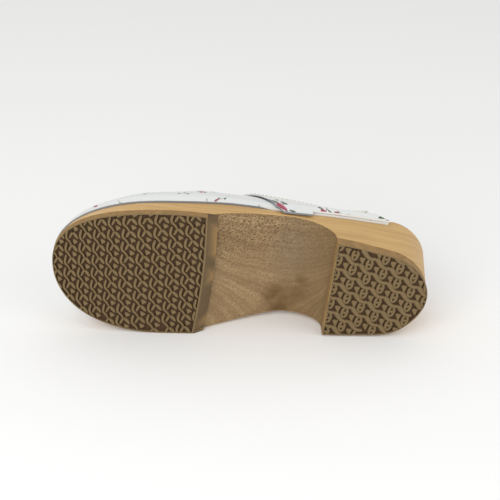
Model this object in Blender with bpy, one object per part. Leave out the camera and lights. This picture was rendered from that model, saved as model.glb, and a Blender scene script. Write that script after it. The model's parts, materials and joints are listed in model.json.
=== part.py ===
"""A left clog: a one-piece wooden sole with rubber treads and an open-backed leather upper.

The clog is shaped in its own frame, in millimetres: x runs forward from the back of the heel
tread, y runs to the lateral side and z runs up from the ground. An empty then lays it down on its
medial side, the way it comes to rest there by itself.
"""

import math

import bmesh
import bpy
import numpy as np
from mathutils import Matrix, Vector

MM = 0.001
LATERAL, MEDIAL = 1, -1
SIDES = (LATERAL, MEDIAL)
SIDE_NAMES = {LATERAL: "lateral", MEDIAL: "medial"}

# Sole, rubber and leather
SOLE_LENGTH = 246.0
HEEL_BREAST = 64.5
HEEL_TREAD = 8.5
FOREFOOT_TREAD = 5.4
TREAD_END = 149.5
TREAD_BEVEL = 6.5
TREAD_BOW = 2.0
BEVEL_EDGE = 1.2
ARCH_TOP = (92.0, 27.0)
ARCH_FALL = 1.3
TOE_SPRING_START = 175.0
TOE_SPRING = 8.2
HEEL_FLARE = 4.0
HEEL_FLARE_REACH = 60.0
TOE_RAKE = 3.5
TOE_RAKE_START = 195.0
REBATE = 1.0
REBATE_START = (22.0, 28.0)
RIM_ROUND = 2.6
EDGE_EASE = 0.5
LEATHER = 1.8
WING_LEATHER = 1.3
WING_GAP = 0.6
GAP = 0.3
LEDGE_GAP = 0.8

# Throat and wings
UPPER_BACK = 27.0
PEAK = 128.0
TOE_LAG = 38.0
TOE_LAG_START = 150.0
WING_FRONT_TOP = 133.5
WING_FRONT_LOW = {LATERAL: 103.5, MEDIAL: 58.0}
WING_FRONT_BOW = {LATERAL: 0.9, MEDIAL: 1.5}
WING_FRONT_PLACES = {LATERAL: (106.5, 113.0, 118.7, 123.1, 126.2), MEDIAL: ()}
TAB_BACK = 80.0
TAB_CORNER = 4.0
WING_DROP = 0.4
TAB_DROP = {LATERAL: 5.5, MEDIAL: WING_DROP}
LAP_SHARE = 0.1
LAP_CLEARANCE = 0.4

# Topline binding, a strip folded over the edge of the wall
BINDING_BACK = 40.0
BINDING_OUTER_LEG = 4.0
BINDING_INNER_LEG = 4.5
BINDING_CLEARANCE = 1.5
BINDING_SKIN = 0.8
BINDING_ROLL = 2.6
BINDING_SLACK = 0.7
ROLL_STEPS = 6

# Numbers of sections along and across
END_ANGLE = math.radians(2.5)
SOLE_SECTIONS = 40
BREAST_SECTIONS = 8
TREAD_SECTIONS = 20
HEEL_SECTIONS = 14
BACK_RIBS = 18
TOE_RIBS = 23
RIB_ROWS = 10
BAND_COLUMNS = 5
FOOTBED_SHARES = (0.85, 0.6, 0.25)
TREAD_SHARES = (0.3, 0.7)

# Densities in kilograms per cubic metre: alder, rubber and leather
WOOD_DENSITY = 520.0
RUBBER_DENSITY = 1150.0
LEATHER_DENSITY = 900.0


def table(columns, *rows):
    """Rows of sizes under named columns."""
    return {name: np.array(values, float) for name, values in zip(columns.split(), zip(*rows))}


# Half-widths of the sole on the ground, each divided by the sine of its station angle, which runs
# from 0 at the heel to 180 at the toe, so that both ends come out round.
OUTLINE = table(
    "angle lateral medial",
    (0, 53.8, 55.9),
    (25, 51.9, 56.0),
    (50, 41.8, 43.5),
    (75, 38.4, 38.0),
    (100, 45.2, 44.0),
    (125, 51.1, 55.7),
    (150, 57.2, 67.0),
    (180, 64.0, 77.5),
)

# Heights along the sole: lower edge of the leather, rim of the footbed, and depth of its dish.
HEIGHTS = table(
    "x edge rim dish",
    (0, 45.0, 52.0, 1.0),
    (30, 41.5, 48.0, 4.0),
    (63, 37.0, 42.5, 3.5),
    (105, 30.5, 36.0, 2.5),
    (128, 24.6, 30.2, 2.5),
    (150, 19.4, 25.0, 2.5),
    (175, 16.4, 22.0, 2.5),
    (205, 16.0, 21.6, 2.0),
    (246, 16.6, 22.4, 1.0),
)

# Crown line over the foot, nearer the medial side at the toe. Behind the peak it is the line of
# the last above the open back.
CROWN = table(
    "x y z",
    (27, -3.0, 78.0),
    (54, -3.0, 85.0),
    (75, -3.0, 95.0),
    (95, -3.0, 103.5),
    (112, -3.0, 107.0),
    (128, -3.0, 100.0),
    (140, -3.5, 88.5),
    (155, -4.5, 76.0),
    (170, -6.5, 68.5),
    (185, -9.0, 65.0),
    (208, -12.0, 63.0),
)

# Topline seen from the side, from the rounded back ends of the wings up to the peak.
TOPLINE = table(
    "x z",
    (27, 42.8),
    (30, 43.8),
    (36, 47.0),
    (45, 52.5),
    (60, 60.0),
    (80, 70.0),
    (100, 81.5),
    (115, 90.5),
    (128, 100.0),
)

# How far each rib goes on upwards from the rim, and outwards from the crown, before it bends:
# 0 is a straight slope and 0.55 a quarter ellipse.
FULLNESS = table(
    "x lateral_rise lateral_spread medial_rise medial_spread",
    (27, 0.00, 0.20, 0.00, 0.20),
    (64, 0.06, 0.20, 0.08, 0.20),
    (85, 0.13, 0.21, 0.15, 0.22),
    (105, 0.15, 0.22, 0.20, 0.28),
    (128, 0.20, 0.30, 0.28, 0.36),
    (160, 0.43, 0.50, 0.50, 0.50),
    (187, 0.44, 0.45, 0.52, 0.55),
    (220, 0.14, 0.44, 0.48, 0.58),
    (246, 0.16, 0.58, 0.16, 0.58),
)


def read(rows, key, column, at):
    """Smooth curve through a column of a table, with no overshoot between its rows."""
    x, y = rows[key], rows[column]
    step = np.diff(x)
    slope = np.diff(y) / step
    turn = np.empty(len(x))
    turn[0], turn[-1] = slope[0], slope[-1]
    before, after = slope[:-1], slope[1:]
    level = before * after <= 0
    near = 2 * step[1:] + step[:-1]
    far = step[1:] + 2 * step[:-1]
    safe_before = np.where(level, 1, before)
    safe_after = np.where(level, 1, after)
    turn[1:-1] = np.where(level, 0, (near + far) / (near / safe_before + far / safe_after))
    at = np.clip(np.asarray(at, float), x[0], x[-1])
    i = np.clip(np.searchsorted(x, at, side="right") - 1, 0, len(x) - 2)
    t = (at - x[i]) / step[i]
    rise = y[i] * (1 + 2 * t) * (1 - t) ** 2 + y[i + 1] * t**2 * (3 - 2 * t)
    return rise + step[i] * (turn[i] * t * (1 - t) ** 2 - turn[i + 1] * t**2 * (1 - t))


def ease(value, start, end):
    """0 before start, 1 after end, and smooth between."""
    t = np.clip((np.asarray(value, float) - start) / (end - start), 0, 1)
    return t * t * (3 - 2 * t)


# Lines of the sole


def angle_at(x):
    """Station angle of a place along the sole."""
    return np.arccos(1 - 2 * np.asarray(x, float) / SOLE_LENGTH)


def on_outline(angle, side):
    """Points of the ground outline at station angles."""
    breadth = read(OUTLINE, "angle", SIDE_NAMES[side], np.degrees(angle))
    x = SOLE_LENGTH / 2 * (1 - np.cos(angle))
    return np.stack([x, side * np.sin(angle) * breadth], axis=-1)


def outline(angle, side, grow=0.0):
    """The outline moved outwards by grow, square to itself."""
    nudge = 1e-4
    angle = np.asarray(angle, float)
    low = np.clip(angle - nudge, 0, math.pi)
    high = np.clip(angle + nudge, 0, math.pi)
    along = on_outline(high, side) - on_outline(low, side)
    out = side * np.stack([-along[..., 1], along[..., 0]], axis=-1)
    out /= np.linalg.norm(out, axis=-1, keepdims=True)
    return on_outline(angle, side) + np.asarray(grow)[..., None] * out


def toe_spring(x):
    """Lift of the sole's underside towards the toe."""
    share = np.clip((x - TOE_SPRING_START) / (SOLE_LENGTH - TOE_SPRING_START), 0, None)
    return TOE_SPRING * share**2


def underside(x):
    """Height of the wood's underside: heel, breast, arch, forefoot and toe spring."""
    x = np.asarray(x, float)
    top_x, top_z = ARCH_TOP
    run = top_x - HEEL_BREAST
    back = np.clip((top_x - x) / run, 0, 1)
    breast = HEEL_TREAD + (top_z - HEEL_TREAD) * np.sqrt(1 - back**2)
    front = np.clip((x - top_x) / (TREAD_END - TREAD_BEVEL / 2 - top_x), 0, 1)
    fall = top_z - (top_z - FOREFOOT_TREAD) * front**ARCH_FALL
    return np.where(x < top_x, breast, fall) + toe_spring(x)


def flare(x, height):
    """How far the sole's wall stands out from the ground outline at a height: it widens upwards
    round the heel and leans back round the toe."""
    low = underside(x)
    share = (height - low) / (read(HEIGHTS, "x", "rim", x) - low)
    heel = np.clip(1 - x / HEEL_FLARE_REACH, 0, None)
    toe = np.clip((x - TOE_RAKE_START) / (SOLE_LENGTH - TOE_RAKE_START), 0, None)
    return (HEEL_FLARE * heel**1.5 - TOE_RAKE * toe**1.5) * share


def rebate(x):
    """Depth of the step that the leather's margin lies in. The bare heel has none."""
    return REBATE * ease(x, *REBATE_START)


# Lines of the upper


def crown_place(base_x):
    """Where along the crown a rib ends: the toe's ribs lean back like a fan."""
    reach = SOLE_LENGTH - TOE_LAG_START
    return base_x - TOE_LAG * (np.clip(base_x - TOE_LAG_START, 0, None) / reach) ** 2


def on_rib(angle, side, share):
    """Points of the upper's outer face. Share runs from 0 at the leather's lower edge, straight
    up the sole's wall to its rim, then along a bend to 1 at the crown."""
    angle = np.asarray(angle, float)
    base_x = SOLE_LENGTH / 2 * (1 - np.cos(angle))
    edge = read(HEIGHTS, "x", "edge", base_x)
    rim = read(HEIGHTS, "x", "rim", base_x) - LAP_CLEARANCE
    proud = LEATHER + GAP - REBATE
    hem = outline(angle, side, proud + flare(base_x, edge))
    hem = np.concatenate([hem, edge[..., None]], axis=-1)
    foot = outline(angle, side, proud + flare(base_x, rim))
    foot = np.concatenate([foot, rim[..., None]], axis=-1)
    crown_x = crown_place(base_x)
    crown = [crown_x, read(CROWN, "x", "y", crown_x), read(CROWN, "x", "z", crown_x)]
    crown = np.stack(crown, axis=-1)
    rise = read(FULLNESS, "x", SIDE_NAMES[side] + "_rise", base_x)[..., None]
    spread = read(FULLNESS, "x", SIDE_NAMES[side] + "_spread", base_x)[..., None]
    low = foot + rise * (crown - foot) * (0, 0, 1)
    high = crown + spread * (foot - crown) * (1, 1, 0)
    share = np.asarray(share, float)
    t = np.clip((share - LAP_SHARE) / (1 - LAP_SHARE), 0, 1)[..., None]
    bend = foot * (1 - t) ** 3 + 3 * low * t * (1 - t) ** 2 + 3 * high * t**2 * (1 - t)
    bend = bend + crown * t**3
    return bend + np.clip(1 - share / LAP_SHARE, 0, 1)[..., None] * (hem - foot)


def outward(angle, side, share):
    """Unit normals of the upper's outer face. At the crown they take in both sides' ribs."""
    nudge = 1e-4
    angle, share = np.broadcast_arrays(np.asarray(angle, float), np.asarray(share, float))
    along = on_rib(angle + nudge, side, share) - on_rib(angle - nudge, side, share)
    above = on_rib(angle, side, np.clip(share + nudge, 0, 1))
    across = on_rib(angle, -side, 2 - share - nudge)
    above = np.where((share + nudge > 1)[..., None], across, above)
    up = above - on_rib(angle, side, np.clip(share - nudge, 0, 1))
    normal = side * np.cross(up, along)
    return normal / np.linalg.norm(normal, axis=-1, keepdims=True)


def topline_share(angle, side):
    """Share of each rib that is left below the topline."""
    angle = np.atleast_1d(np.asarray(angle, float))
    base_x = SOLE_LENGTH / 2 * (1 - np.cos(angle))
    shares = np.linspace(0, 1, 400)
    found = np.ones(len(angle))
    for i, (place, x) in enumerate(zip(angle, base_x)):
        if x < PEAK - 0.001:
            heights = on_rib(np.full_like(shares, place), side, shares)[:, 2]
            found[i] = np.interp(read(TOPLINE, "x", "z", x), heights, shares)
    return found


def rib_shares(top):
    """Shares of the points along each rib up to its top, some of them on the sole's wall."""
    top = np.asarray(top, float)[..., None]
    lap = np.minimum(LAP_SHARE, top / 2)
    bend = np.linspace(0, 1, RIB_ROWS - 1)[1:]
    return np.concatenate([lap * (0, 0.5, 1), lap + (top - lap) * bend], axis=-1)


def back_angles(start=UPPER_BACK):
    """Stations from start, near the wings' back ends, to the peak, close together at both."""
    turn = np.linspace(0, math.pi, BACK_RIBS + 1)
    return angle_at(start + (PEAK - start) * (1 - np.cos(turn)) / 2)


def band_places():
    """Places along the collar's band, from the peak to its front border on the crown, closer
    together there."""
    left = 1 - np.arange(1, BAND_COLUMNS + 1) / BAND_COLUMNS
    return WING_FRONT_TOP - (WING_FRONT_TOP - PEAK) * left**2


# Meshes


def finish(name, mesh_builder, colour, roughness, smooth_angle=40.0):
    """Turns a bmesh in millimetres into a named object with its own material."""
    bmesh.ops.scale(mesh_builder, vec=(MM, MM, MM), verts=mesh_builder.verts)
    bmesh.ops.remove_doubles(mesh_builder, verts=mesh_builder.verts, dist=1e-6)
    bmesh.ops.recalc_face_normals(mesh_builder, faces=mesh_builder.faces)
    mesh = bpy.data.meshes.new(name)
    mesh_builder.to_mesh(mesh)
    mesh_builder.free()
    mesh.shade_smooth()
    mesh.set_sharp_from_angle(angle=math.radians(smooth_angle))
    material = bpy.data.materials.new(name)
    material.use_nodes = True
    shader = material.node_tree.nodes["Principled BSDF"]
    shader.inputs["Base Color"].default_value = (*colour, 1.0)
    shader.inputs["Roughness"].default_value = roughness
    shader.inputs["Metallic"].default_value = 0.0
    mesh.materials.append(material)
    obj = bpy.data.objects.new(name, mesh)
    bpy.context.scene.collection.objects.link(obj)
    return obj


def add_points(mesh_builder, grid):
    """Vertices for an array of points of any shape."""
    flat = [mesh_builder.verts.new(point) for point in grid.reshape(-1, 3)]
    made = np.empty(len(flat), object)
    made[:] = flat
    return made.reshape(grid.shape[:-1])


def add_quads(mesh_builder, verts):
    """Faces over a grid of vertices."""
    for low, high in zip(verts[:-1], verts[1:]):
        for a, b, c, d in zip(low[:-1], low[1:], high[1:], high[:-1]):
            mesh_builder.faces.new((a, b, c, d))


def loft(name, lateral, medial, colour, roughness):
    """Closed solid from two half-sections a station, each from the middle of the underside
    round to the middle of the top."""
    builder = bmesh.new()
    left = add_points(builder, lateral)
    right = add_points(builder, medial)
    add_quads(builder, left)
    add_quads(builder, right)
    for place in (0, -1):
        add_quads(builder, np.stack([left[:, place], right[:, place]], axis=1))
        add_quads(builder, np.stack([left[place], right[place]], axis=1))
    return finish(name, builder, colour, roughness)


def add_wall(obj, thickness, offset):
    """Gives an open skin its thickness, outwards for an offset of 1 and inwards for -1."""
    crown = max(obj.data.polygons, key=lambda face: face.center.z)
    if crown.normal.z < 0:
        obj.data.flip_normals()
    wall = obj.modifiers.new("wall", "SOLIDIFY")
    wall.thickness = thickness * MM
    wall.offset = offset
    return obj


def half_section(*points):
    """Stacks the points of a half-section, each given for all stations, into one grid."""
    return np.stack([np.stack(np.broadcast_arrays(*p), axis=-1) for p in points], axis=1)


# Sub-parts


def sole_wood():
    """The carved sole: footbed, rim with its rebate, side walls, arch and heel block."""
    breast_turn = np.linspace(0, math.pi / 2, BREAST_SECTIONS + 1)
    breast_x = HEEL_BREAST + (ARCH_TOP[0] - HEEL_BREAST) * (1 - np.cos(breast_turn))
    even = np.linspace(END_ANGLE, math.pi - END_ANGLE, SOLE_SECTIONS + 1)
    even_x = SOLE_LENGTH / 2 * (1 - np.cos(even))
    clear = (even_x < breast_x[0] - 2) | (even_x > breast_x[-1] + 2)
    angles = np.sort(np.concatenate([even[clear], angle_at(breast_x)]))
    x = SOLE_LENGTH / 2 * (1 - np.cos(angles))
    low = underside(x) + GAP
    step = read(HEIGHTS, "x", "edge", x) - LEDGE_GAP
    rim = read(HEIGHTS, "x", "rim", x)
    dish = read(HEIGHTS, "x", "dish", x)
    halves = []
    for side in SIDES:

        def wall(inset, height, side=side):
            flat = outline(angles, side, flare(x, height) - inset)
            return flat[:, 0], flat[:, 1], height

        depth = rebate(x)
        inner = outline(angles, side, flare(x, rim) - depth - RIM_ROUND)
        bend = RIM_ROUND * (1 - math.sqrt(0.5))
        points = [
            wall(EDGE_EASE, low),
            wall(0.0, low + EDGE_EASE),
            wall(0.0, step),
            wall(depth + 0.01, step),
            wall(depth, rim - RIM_ROUND),
            wall(depth + bend, rim - bend),
            wall(depth + RIM_ROUND, rim),
        ]
        for share in FOOTBED_SHARES:
            bed = rim - dish * (1 - share**2)
            points.append((inner[:, 0], share * inner[:, 1], bed))
        halves.append(half_section(*points))
    return loft("sole_wood", *halves, (0.62, 0.44, 0.24), 0.5)


def tread_halves(angles, low, high, bow):
    """Half-sections of a rubber tread with its upper face against the wood."""
    halves = []
    for side in SIDES:
        edge = outline(angles, side)
        points = [
            (edge[:, 0] - bow * (1 - share**2), share * edge[:, 1], low) for share in TREAD_SHARES
        ]
        points.append((edge[:, 0], edge[:, 1], low))
        points.append((edge[:, 0], edge[:, 1], high))
        points += [
            (edge[:, 0] - bow * (1 - share**2), share * edge[:, 1], high)
            for share in reversed(TREAD_SHARES)
        ]
        halves.append(half_section(*points))
    return halves


def forefoot_tread():
    """Rubber half-sole, skived to a thin edge at the waist and sprung at the toe."""
    front = np.linspace(angle_at(TREAD_END), math.pi - END_ANGLE, TREAD_SECTIONS + 1)
    angles = np.concatenate([[angle_at(TREAD_END - TREAD_BEVEL)], front])
    x = SOLE_LENGTH / 2 * (1 - np.cos(angles))
    high = FOREFOOT_TREAD + toe_spring(x)
    low = toe_spring(x)
    low[0] = FOREFOOT_TREAD - BEVEL_EDGE
    bow = TREAD_BOW * (1 - ease(x, TREAD_END, TREAD_END + 30))
    return loft("forefoot_tread", *tread_halves(angles, low, high, bow), (0.22, 0.16, 0.1), 0.8)


def heel_tread():
    """Rubber top piece of the heel."""
    angles = np.linspace(END_ANGLE, angle_at(HEEL_BREAST), HEEL_SECTIONS + 1)
    low = np.zeros_like(angles)
    return loft(
        "heel_tread", *tread_halves(angles, low, low + HEEL_TREAD, 0.0), (0.22, 0.16, 0.1), 0.8
    )


def upper():
    """The leather upper, one wall from wing to wing round the toe, open at the back and below."""
    band = angle_at(band_places())
    toe = np.linspace(band[-1], math.pi, TOE_RIBS + 1)[1:]
    angles = np.concatenate([back_angles(), band, toe])
    builder = bmesh.new()
    for side in SIDES:
        share = rib_shares(topline_share(angles, side))
        station = np.broadcast_to(angles[:, None], share.shape)
        add_quads(builder, add_points(builder, on_rib(station, side, share)))
    return add_wall(finish("upper", builder, (0.86, 0.86, 0.85), 0.35), LEATHER, -1.0)


def collar():
    """The leather collar lapped over the upper: a narrow band across the instep and a wing down
    each flank, from its front border to its back end. The lateral wing has a tab at the waist."""
    back_x = SOLE_LENGTH / 2 * (1 - np.cos(back_angles()))
    builder = bmesh.new()
    for side in SIDES:
        low = WING_FRONT_LOW[side]
        corners = (low, low - TAB_CORNER, TAB_BACK, TAB_BACK - 0.4)
        places = [back_x, band_places(), corners, WING_FRONT_PLACES[side]]
        x = np.sort(np.concatenate(places))
        ahead = np.clip((WING_FRONT_TOP - x) / (WING_FRONT_TOP - low), 0, 1)
        border = 1 - ahead ** (1 / WING_FRONT_BOW[side])
        angles = angle_at(x)
        share = np.maximum(rib_shares(topline_share(angles, side)), border[:, None])
        share = np.concatenate([share[:, :1], share], axis=1)
        station = np.broadcast_to(angles[:, None], share.shape)
        skin = on_rib(station, side, share) + WING_GAP * outward(station, side, share)
        drop = np.where(x < TAB_BACK, WING_DROP, TAB_DROP[side])
        skin[:, 0, 2] -= drop * np.clip((low - x) / TAB_CORNER, 0, 1)
        add_quads(builder, add_points(builder, skin))
    return add_wall(finish("collar", builder, (0.86, 0.86, 0.85), 0.35), WING_LEATHER, 1.0)


def topline():
    """Points along the bound topline from the lateral side to the medial one, with the wall's
    outward normal and the direction out of its edge at each."""
    angles = back_angles(BINDING_BACK)
    points, normals = [], []
    for side in SIDES:
        share = topline_share(angles, side)
        points.append(on_rib(angles, side, share))
        normals.append(outward(angles, side, share))
    points = np.concatenate([points[0], points[1][-2::-1]])
    normals = np.concatenate([normals[0], normals[1][-2::-1]])
    along = np.gradient(points, axis=0)
    along /= np.linalg.norm(along, axis=1, keepdims=True)
    normals -= along * (normals * along).sum(axis=1, keepdims=True)
    normals /= np.linalg.norm(normals, axis=1, keepdims=True)
    return points, normals, np.cross(along, normals)


def topline_binding():
    """Strip folded over the topline, with a slot that clears the upper and the wings. Its inner
    leg is cut short where the sole's rim comes near."""
    points, normals, up = topline()
    rim = read(HEIGHTS, "x", "rim", points[:, 0])
    inner_leg = np.clip(points[:, 2] - rim - BINDING_CLEARANCE, 0, BINDING_INNER_LEG)
    slot_in = -LEATHER - BINDING_SLACK
    slot_out = WING_GAP + WING_LEATHER + BINDING_SLACK
    middle = (slot_in + slot_out) / 2
    half = (slot_out - slot_in) / 2
    turn = np.linspace(0, math.pi, ROLL_STEPS + 1)
    roll = half + BINDING_SKIN
    profile = [(slot_out + BINDING_SKIN, -BINDING_OUTER_LEG)]
    fold = [(middle + roll * math.cos(t), BINDING_ROLL * math.sin(t)) for t in turn]
    profile += [(out, BINDING_SLACK + rise) for out, rise in fold]
    profile += [(slot_in - BINDING_SKIN, -1.0), (slot_in, -1.0), (slot_in, BINDING_SLACK)]
    profile += [(slot_out, BINDING_SLACK), (slot_out, -BINDING_OUTER_LEG)]
    across, above = np.array(profile).T
    inside = (across < middle) & (above < 0)
    above = np.where(inside, -inner_leg[:, None], above)
    grid = points[:, None] + normals[:, None] * across[:, None] + up[:, None] * above[..., None]
    builder = bmesh.new()
    verts = add_points(builder, grid)
    add_quads(builder, np.concatenate([verts, verts[:, :1]], axis=1))
    builder.faces.new(verts[0])
    builder.faces.new(verts[-1])
    return finish("topline_binding", builder, (0.84, 0.83, 0.79), 0.4)


# Rest on the floor


def evaluated_triangles(obj):
    """Corner points of an object's triangles as modelled, in metres."""
    shown = obj.evaluated_get(bpy.context.evaluated_depsgraph_get())
    mesh = shown.to_mesh()
    mesh.calc_loop_triangles()
    corners = [[mesh.vertices[i].co[:] for i in t.vertices] for t in mesh.loop_triangles]
    shown.to_mesh_clear()
    return np.array(corners)


def centre_of_mass(weighted):
    """Centre of mass of closed triangle meshes, each with its density."""
    total, moment = 0.0, np.zeros(3)
    for corners, density in weighted:
        volumes = np.linalg.det(corners) / 6 * density
        total += volumes.sum()
        moment += (volumes[:, None] * corners.sum(axis=1) / 4).sum(axis=0)
    return moment / total


def resting_face(points, centre):
    """Outward normal of the face of the hull that carries the clog on its medial side."""
    hull = bmesh.new()
    for point in points:
        hull.verts.new(point)
    made = bmesh.ops.convex_hull(hull, input=hull.verts)
    spare = set(made["geom_interior"]) | set(made["geom_unused"])
    bmesh.ops.delete(hull, geom=[v for v in spare if isinstance(v, bmesh.types.BMVert)])
    bmesh.ops.recalc_face_normals(hull, faces=hull.faces)
    best = None
    for face in hull.faces:
        corners = [v.co for v in face.verts]
        middle = Vector(centre)
        drop = middle - face.normal * (middle - corners[0]).dot(face.normal)
        turns = [
            (b - a).cross(drop - a).dot(face.normal)
            for a, b in zip(corners, corners[1:] + corners[:1])
        ]
        held = min(turns) >= 0 or max(turns) <= 0
        if held and face.normal.y < 0 and (best is None or face.normal.y < best.y):
            best = face.normal.copy()
    hull.free()
    return best


def lay_down(parts):
    """Parents the sub-parts to an empty that lays the clog on its medial side, toe to -X."""
    bpy.context.view_layer.update()
    shapes = [(evaluated_triangles(obj), density) for obj, density in parts]
    points = np.concatenate([corners.reshape(-1, 3) for corners, _ in shapes])
    points = np.unique(np.round(points, 7), axis=0)
    up = -resting_face(points, centre_of_mass(shapes))
    back = Vector((-1, 0, 0))
    back = (back - up * back.dot(up)).normalized()
    turn = Matrix((back, up.cross(back), up))
    placed = points @ np.array(turn).T
    low, high = placed.min(axis=0), placed.max(axis=0)
    middle = (low + high) / 2
    pose = bpy.data.objects.new("lying_clog", None)
    bpy.context.scene.collection.objects.link(pose)
    pose.matrix_world = Matrix.Translation((-middle[0], -middle[1], -low[2])) @ turn.to_4x4()
    for obj, _ in parts:
        obj.parent = pose


def main():
    for obj in list(bpy.data.objects):
        bpy.data.objects.remove(obj)
    parts = [(sole_wood(), WOOD_DENSITY)]
    parts += [(tread(), RUBBER_DENSITY) for tread in (forefoot_tread, heel_tread)]
    parts += [(piece(), LEATHER_DENSITY) for piece in (upper, collar, topline_binding)]
    lay_down(parts)


main()
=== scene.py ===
"""Looks of a left clog: carved wood, ribbed rubber, printed leather and a stitched binding.

Forms are worked out in millimetres in the clog's own frame: x runs forward from the back of the
heel tread, y to the lateral side and z up from the ground. The clog lies on its medial side, so
every mesh is turned by the lying pose, which is read from the two tread faces in the record.
"""

import json
import math
from contextlib import contextmanager

import bmesh
import bpy
import numpy as np
from bpy.props import FloatProperty, FloatVectorProperty, PointerProperty
from mathutils import Matrix, Vector


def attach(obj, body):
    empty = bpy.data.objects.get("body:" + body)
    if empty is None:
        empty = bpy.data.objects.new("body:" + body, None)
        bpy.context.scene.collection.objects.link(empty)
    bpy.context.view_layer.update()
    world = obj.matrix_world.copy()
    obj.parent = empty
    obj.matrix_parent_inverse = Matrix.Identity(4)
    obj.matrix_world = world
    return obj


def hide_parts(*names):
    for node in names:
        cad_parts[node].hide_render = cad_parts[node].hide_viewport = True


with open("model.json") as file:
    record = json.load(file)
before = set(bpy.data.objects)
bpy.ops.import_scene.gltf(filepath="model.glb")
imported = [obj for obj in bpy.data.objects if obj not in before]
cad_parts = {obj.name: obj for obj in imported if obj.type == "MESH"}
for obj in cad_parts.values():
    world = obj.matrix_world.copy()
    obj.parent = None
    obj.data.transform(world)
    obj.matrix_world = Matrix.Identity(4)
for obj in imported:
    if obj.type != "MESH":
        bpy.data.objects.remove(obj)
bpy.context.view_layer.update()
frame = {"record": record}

bl_info = {
    "name": "Clog looks",
    "version": (1, 0, 0),
    "blender": (4, 5, 0),
    "location": "View3D > Sidebar > Clog",
    "description": "Dresses a lying left clog in wood, rubber and printed leather",
    "category": "Object",
}

MM = 0.001
LATERAL, MEDIAL = 1, -1
SIDES = (LATERAL, MEDIAL)
SIDE_NAMES = {LATERAL: "lateral", MEDIAL: "medial"}

# Form of the clog, the same sizes as its solids
SOLE_LENGTH = 246.0
HEEL_BREAST = 64.5
HEEL_TREAD = 8.5
FOREFOOT_TREAD = 5.4
TREAD_END = 149.5
TREAD_BEVEL = 6.5
TREAD_BOW = 2.0
BEVEL_EDGE = 1.2
ARCH_TOP = (92.0, 27.0)
ARCH_FALL = 1.3
TOE_SPRING_START = 175.0
TOE_SPRING = 8.2
HEEL_FLARE = 4.0
FLARE_CURVE = 1.5
HEEL_FLARE_REACH = 60.0
TOE_RAKE = 3.5
TOE_RAKE_START = 195.0
REBATE = 1.0
REBATE_START = (22.0, 28.0)
RIM_ROUND = 2.6
EDGE_EASE = 0.7
LEATHER = 1.8
WING_LEATHER = 1.3
WING_GAP = 0.6
GAP = 0.3
LEDGE_GAP = 0.8
UPPER_BACK = 27.0
PEAK = 128.0
TOE_LAG = 38.0
TOE_LAG_START = 150.0
WING_FRONT_TOP = 133.5
WING_FRONT_LOW = {LATERAL: 103.5, MEDIAL: 58.0}
WING_FRONT_BOW = {LATERAL: 0.9, MEDIAL: 1.5}
TAB_BACK = 80.0
TAB_CORNER = 4.0
WING_DROP = 0.4
TAB_DROP = {LATERAL: 5.5, MEDIAL: WING_DROP}
LAP_SHARE = 0.1
LAP_CLEARANCE = 0.4
BINDING_BACK = 40.0
BINDING_OUTER_LEG = 4.0
BINDING_INNER_LEG = 4.5
BINDING_CLEARANCE = 1.5
BINDING_SKIN = 0.8
BINDING_ROLL = 2.6
BINDING_SLACK = 0.7
HEEL_MARK = 32.0

# Wood, finer than the solids have it: shares and turns of a half-section's points
UNDERSIDE_SHARES = (0.0, 0.2, 0.4, 0.6, 0.8, 0.93, 1.0)
EASE_TURNS = (30, 60, 90)
WALL_SHARES = (0.03, 0.25, 0.5, 0.75, 1.0)
LEDGE_ROUND = 0.35
LEDGE_BITE = 0.1
LEDGE_NOOK = 0.01
RIM_TURNS = (0, 22.5, 45, 67.5, 90)
BED_SHARES = (0.96, 0.9, 0.82, 0.72, 0.6, 0.48, 0.36, 0.24, 0.12, 0.0)

# Treads: depth of full painted groove shade and dirt, the plain rim with its slope and rounded edge
GROOVE_SHADE_DEPTH = 1.9
TREAD_RIM = 0.6
RIM_SLOPE = 0.4
RIM_EDGE_IN = 0.2
RIM_EDGE_UP = 0.25
BAND_STEP = 0.02
BEVEL_STEP = 0.05
GROOVE_WALL = 0.25
BOW_FADE = 30.0
FLOOR_SHARES = (0.0, 0.2, 0.4, 0.6, 0.8, 0.95, 1.0)

# Lugs: share of the stroke's width and depth at the foot, shoulder and top of a flank
LUG_FOOT = (1.5, 0.3)
LUG_SHOULDER = (1.2, 0.5)
LUG_TOP = (0.5, 0.0)
LUG_CORNERS = 6
LUG_SMOOTH = 75.0
LUG_INSET = 0.1
# A point moved further than this was outside, and a lug that is mostly outside goes
HELD_BACK = 0.05
MOSTLY_OUT = 0.6
# Lattices of the lugs: a first cell and the steps along and across, then the field they fill
LATTICE_REACH = 30
FOREFOOT_LATTICE = ((194.8, 3.2), (-10.0, 1.9), (0.15, 9.4))
FOREFOOT_FIELD = (TREAD_END - 8, SOLE_LENGTH + 14, 62)
HEEL_LATTICE = ((46.8, 2.0), (-10.2, -5.95), (0.0, 11.05))
HEEL_FIELD = (-8, HEEL_BREAST + 8, 46)
# How the pattern closes up where the sole springs up at the toe
TOE_SQUEEZE_START = 205.0
TOE_SQUEEZE = 0.11

# Leather: where its dark cut edge shows and how strongly
UPPER_EDGE_TONE = 1.3
UPPER_EDGE_START = (100.0, 118.0)
COLLAR_EDGE_TONE = 2.0
COLLAR_EDGE_FADE = 1.2
COLLAR_EDGE_SHARES = (0.02, 0.3)
COLLAR_EDGE_BACK = 0.3
COLLAR_EDGE_STEP = 0.2
TAB_STEP = 0.4
BINDING_EDGE_IN = 0.25
BINDING_EDGE_UP = 0.3
BINDING_BEND = 1.0

# Points closer than this are one
WELD = 0.005
# Step for slopes, and steps for finding heights and lengths along a rib
NUDGE = 1e-4
HEIGHT_STEPS = 400
LENGTH_STEPS = 80
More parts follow.
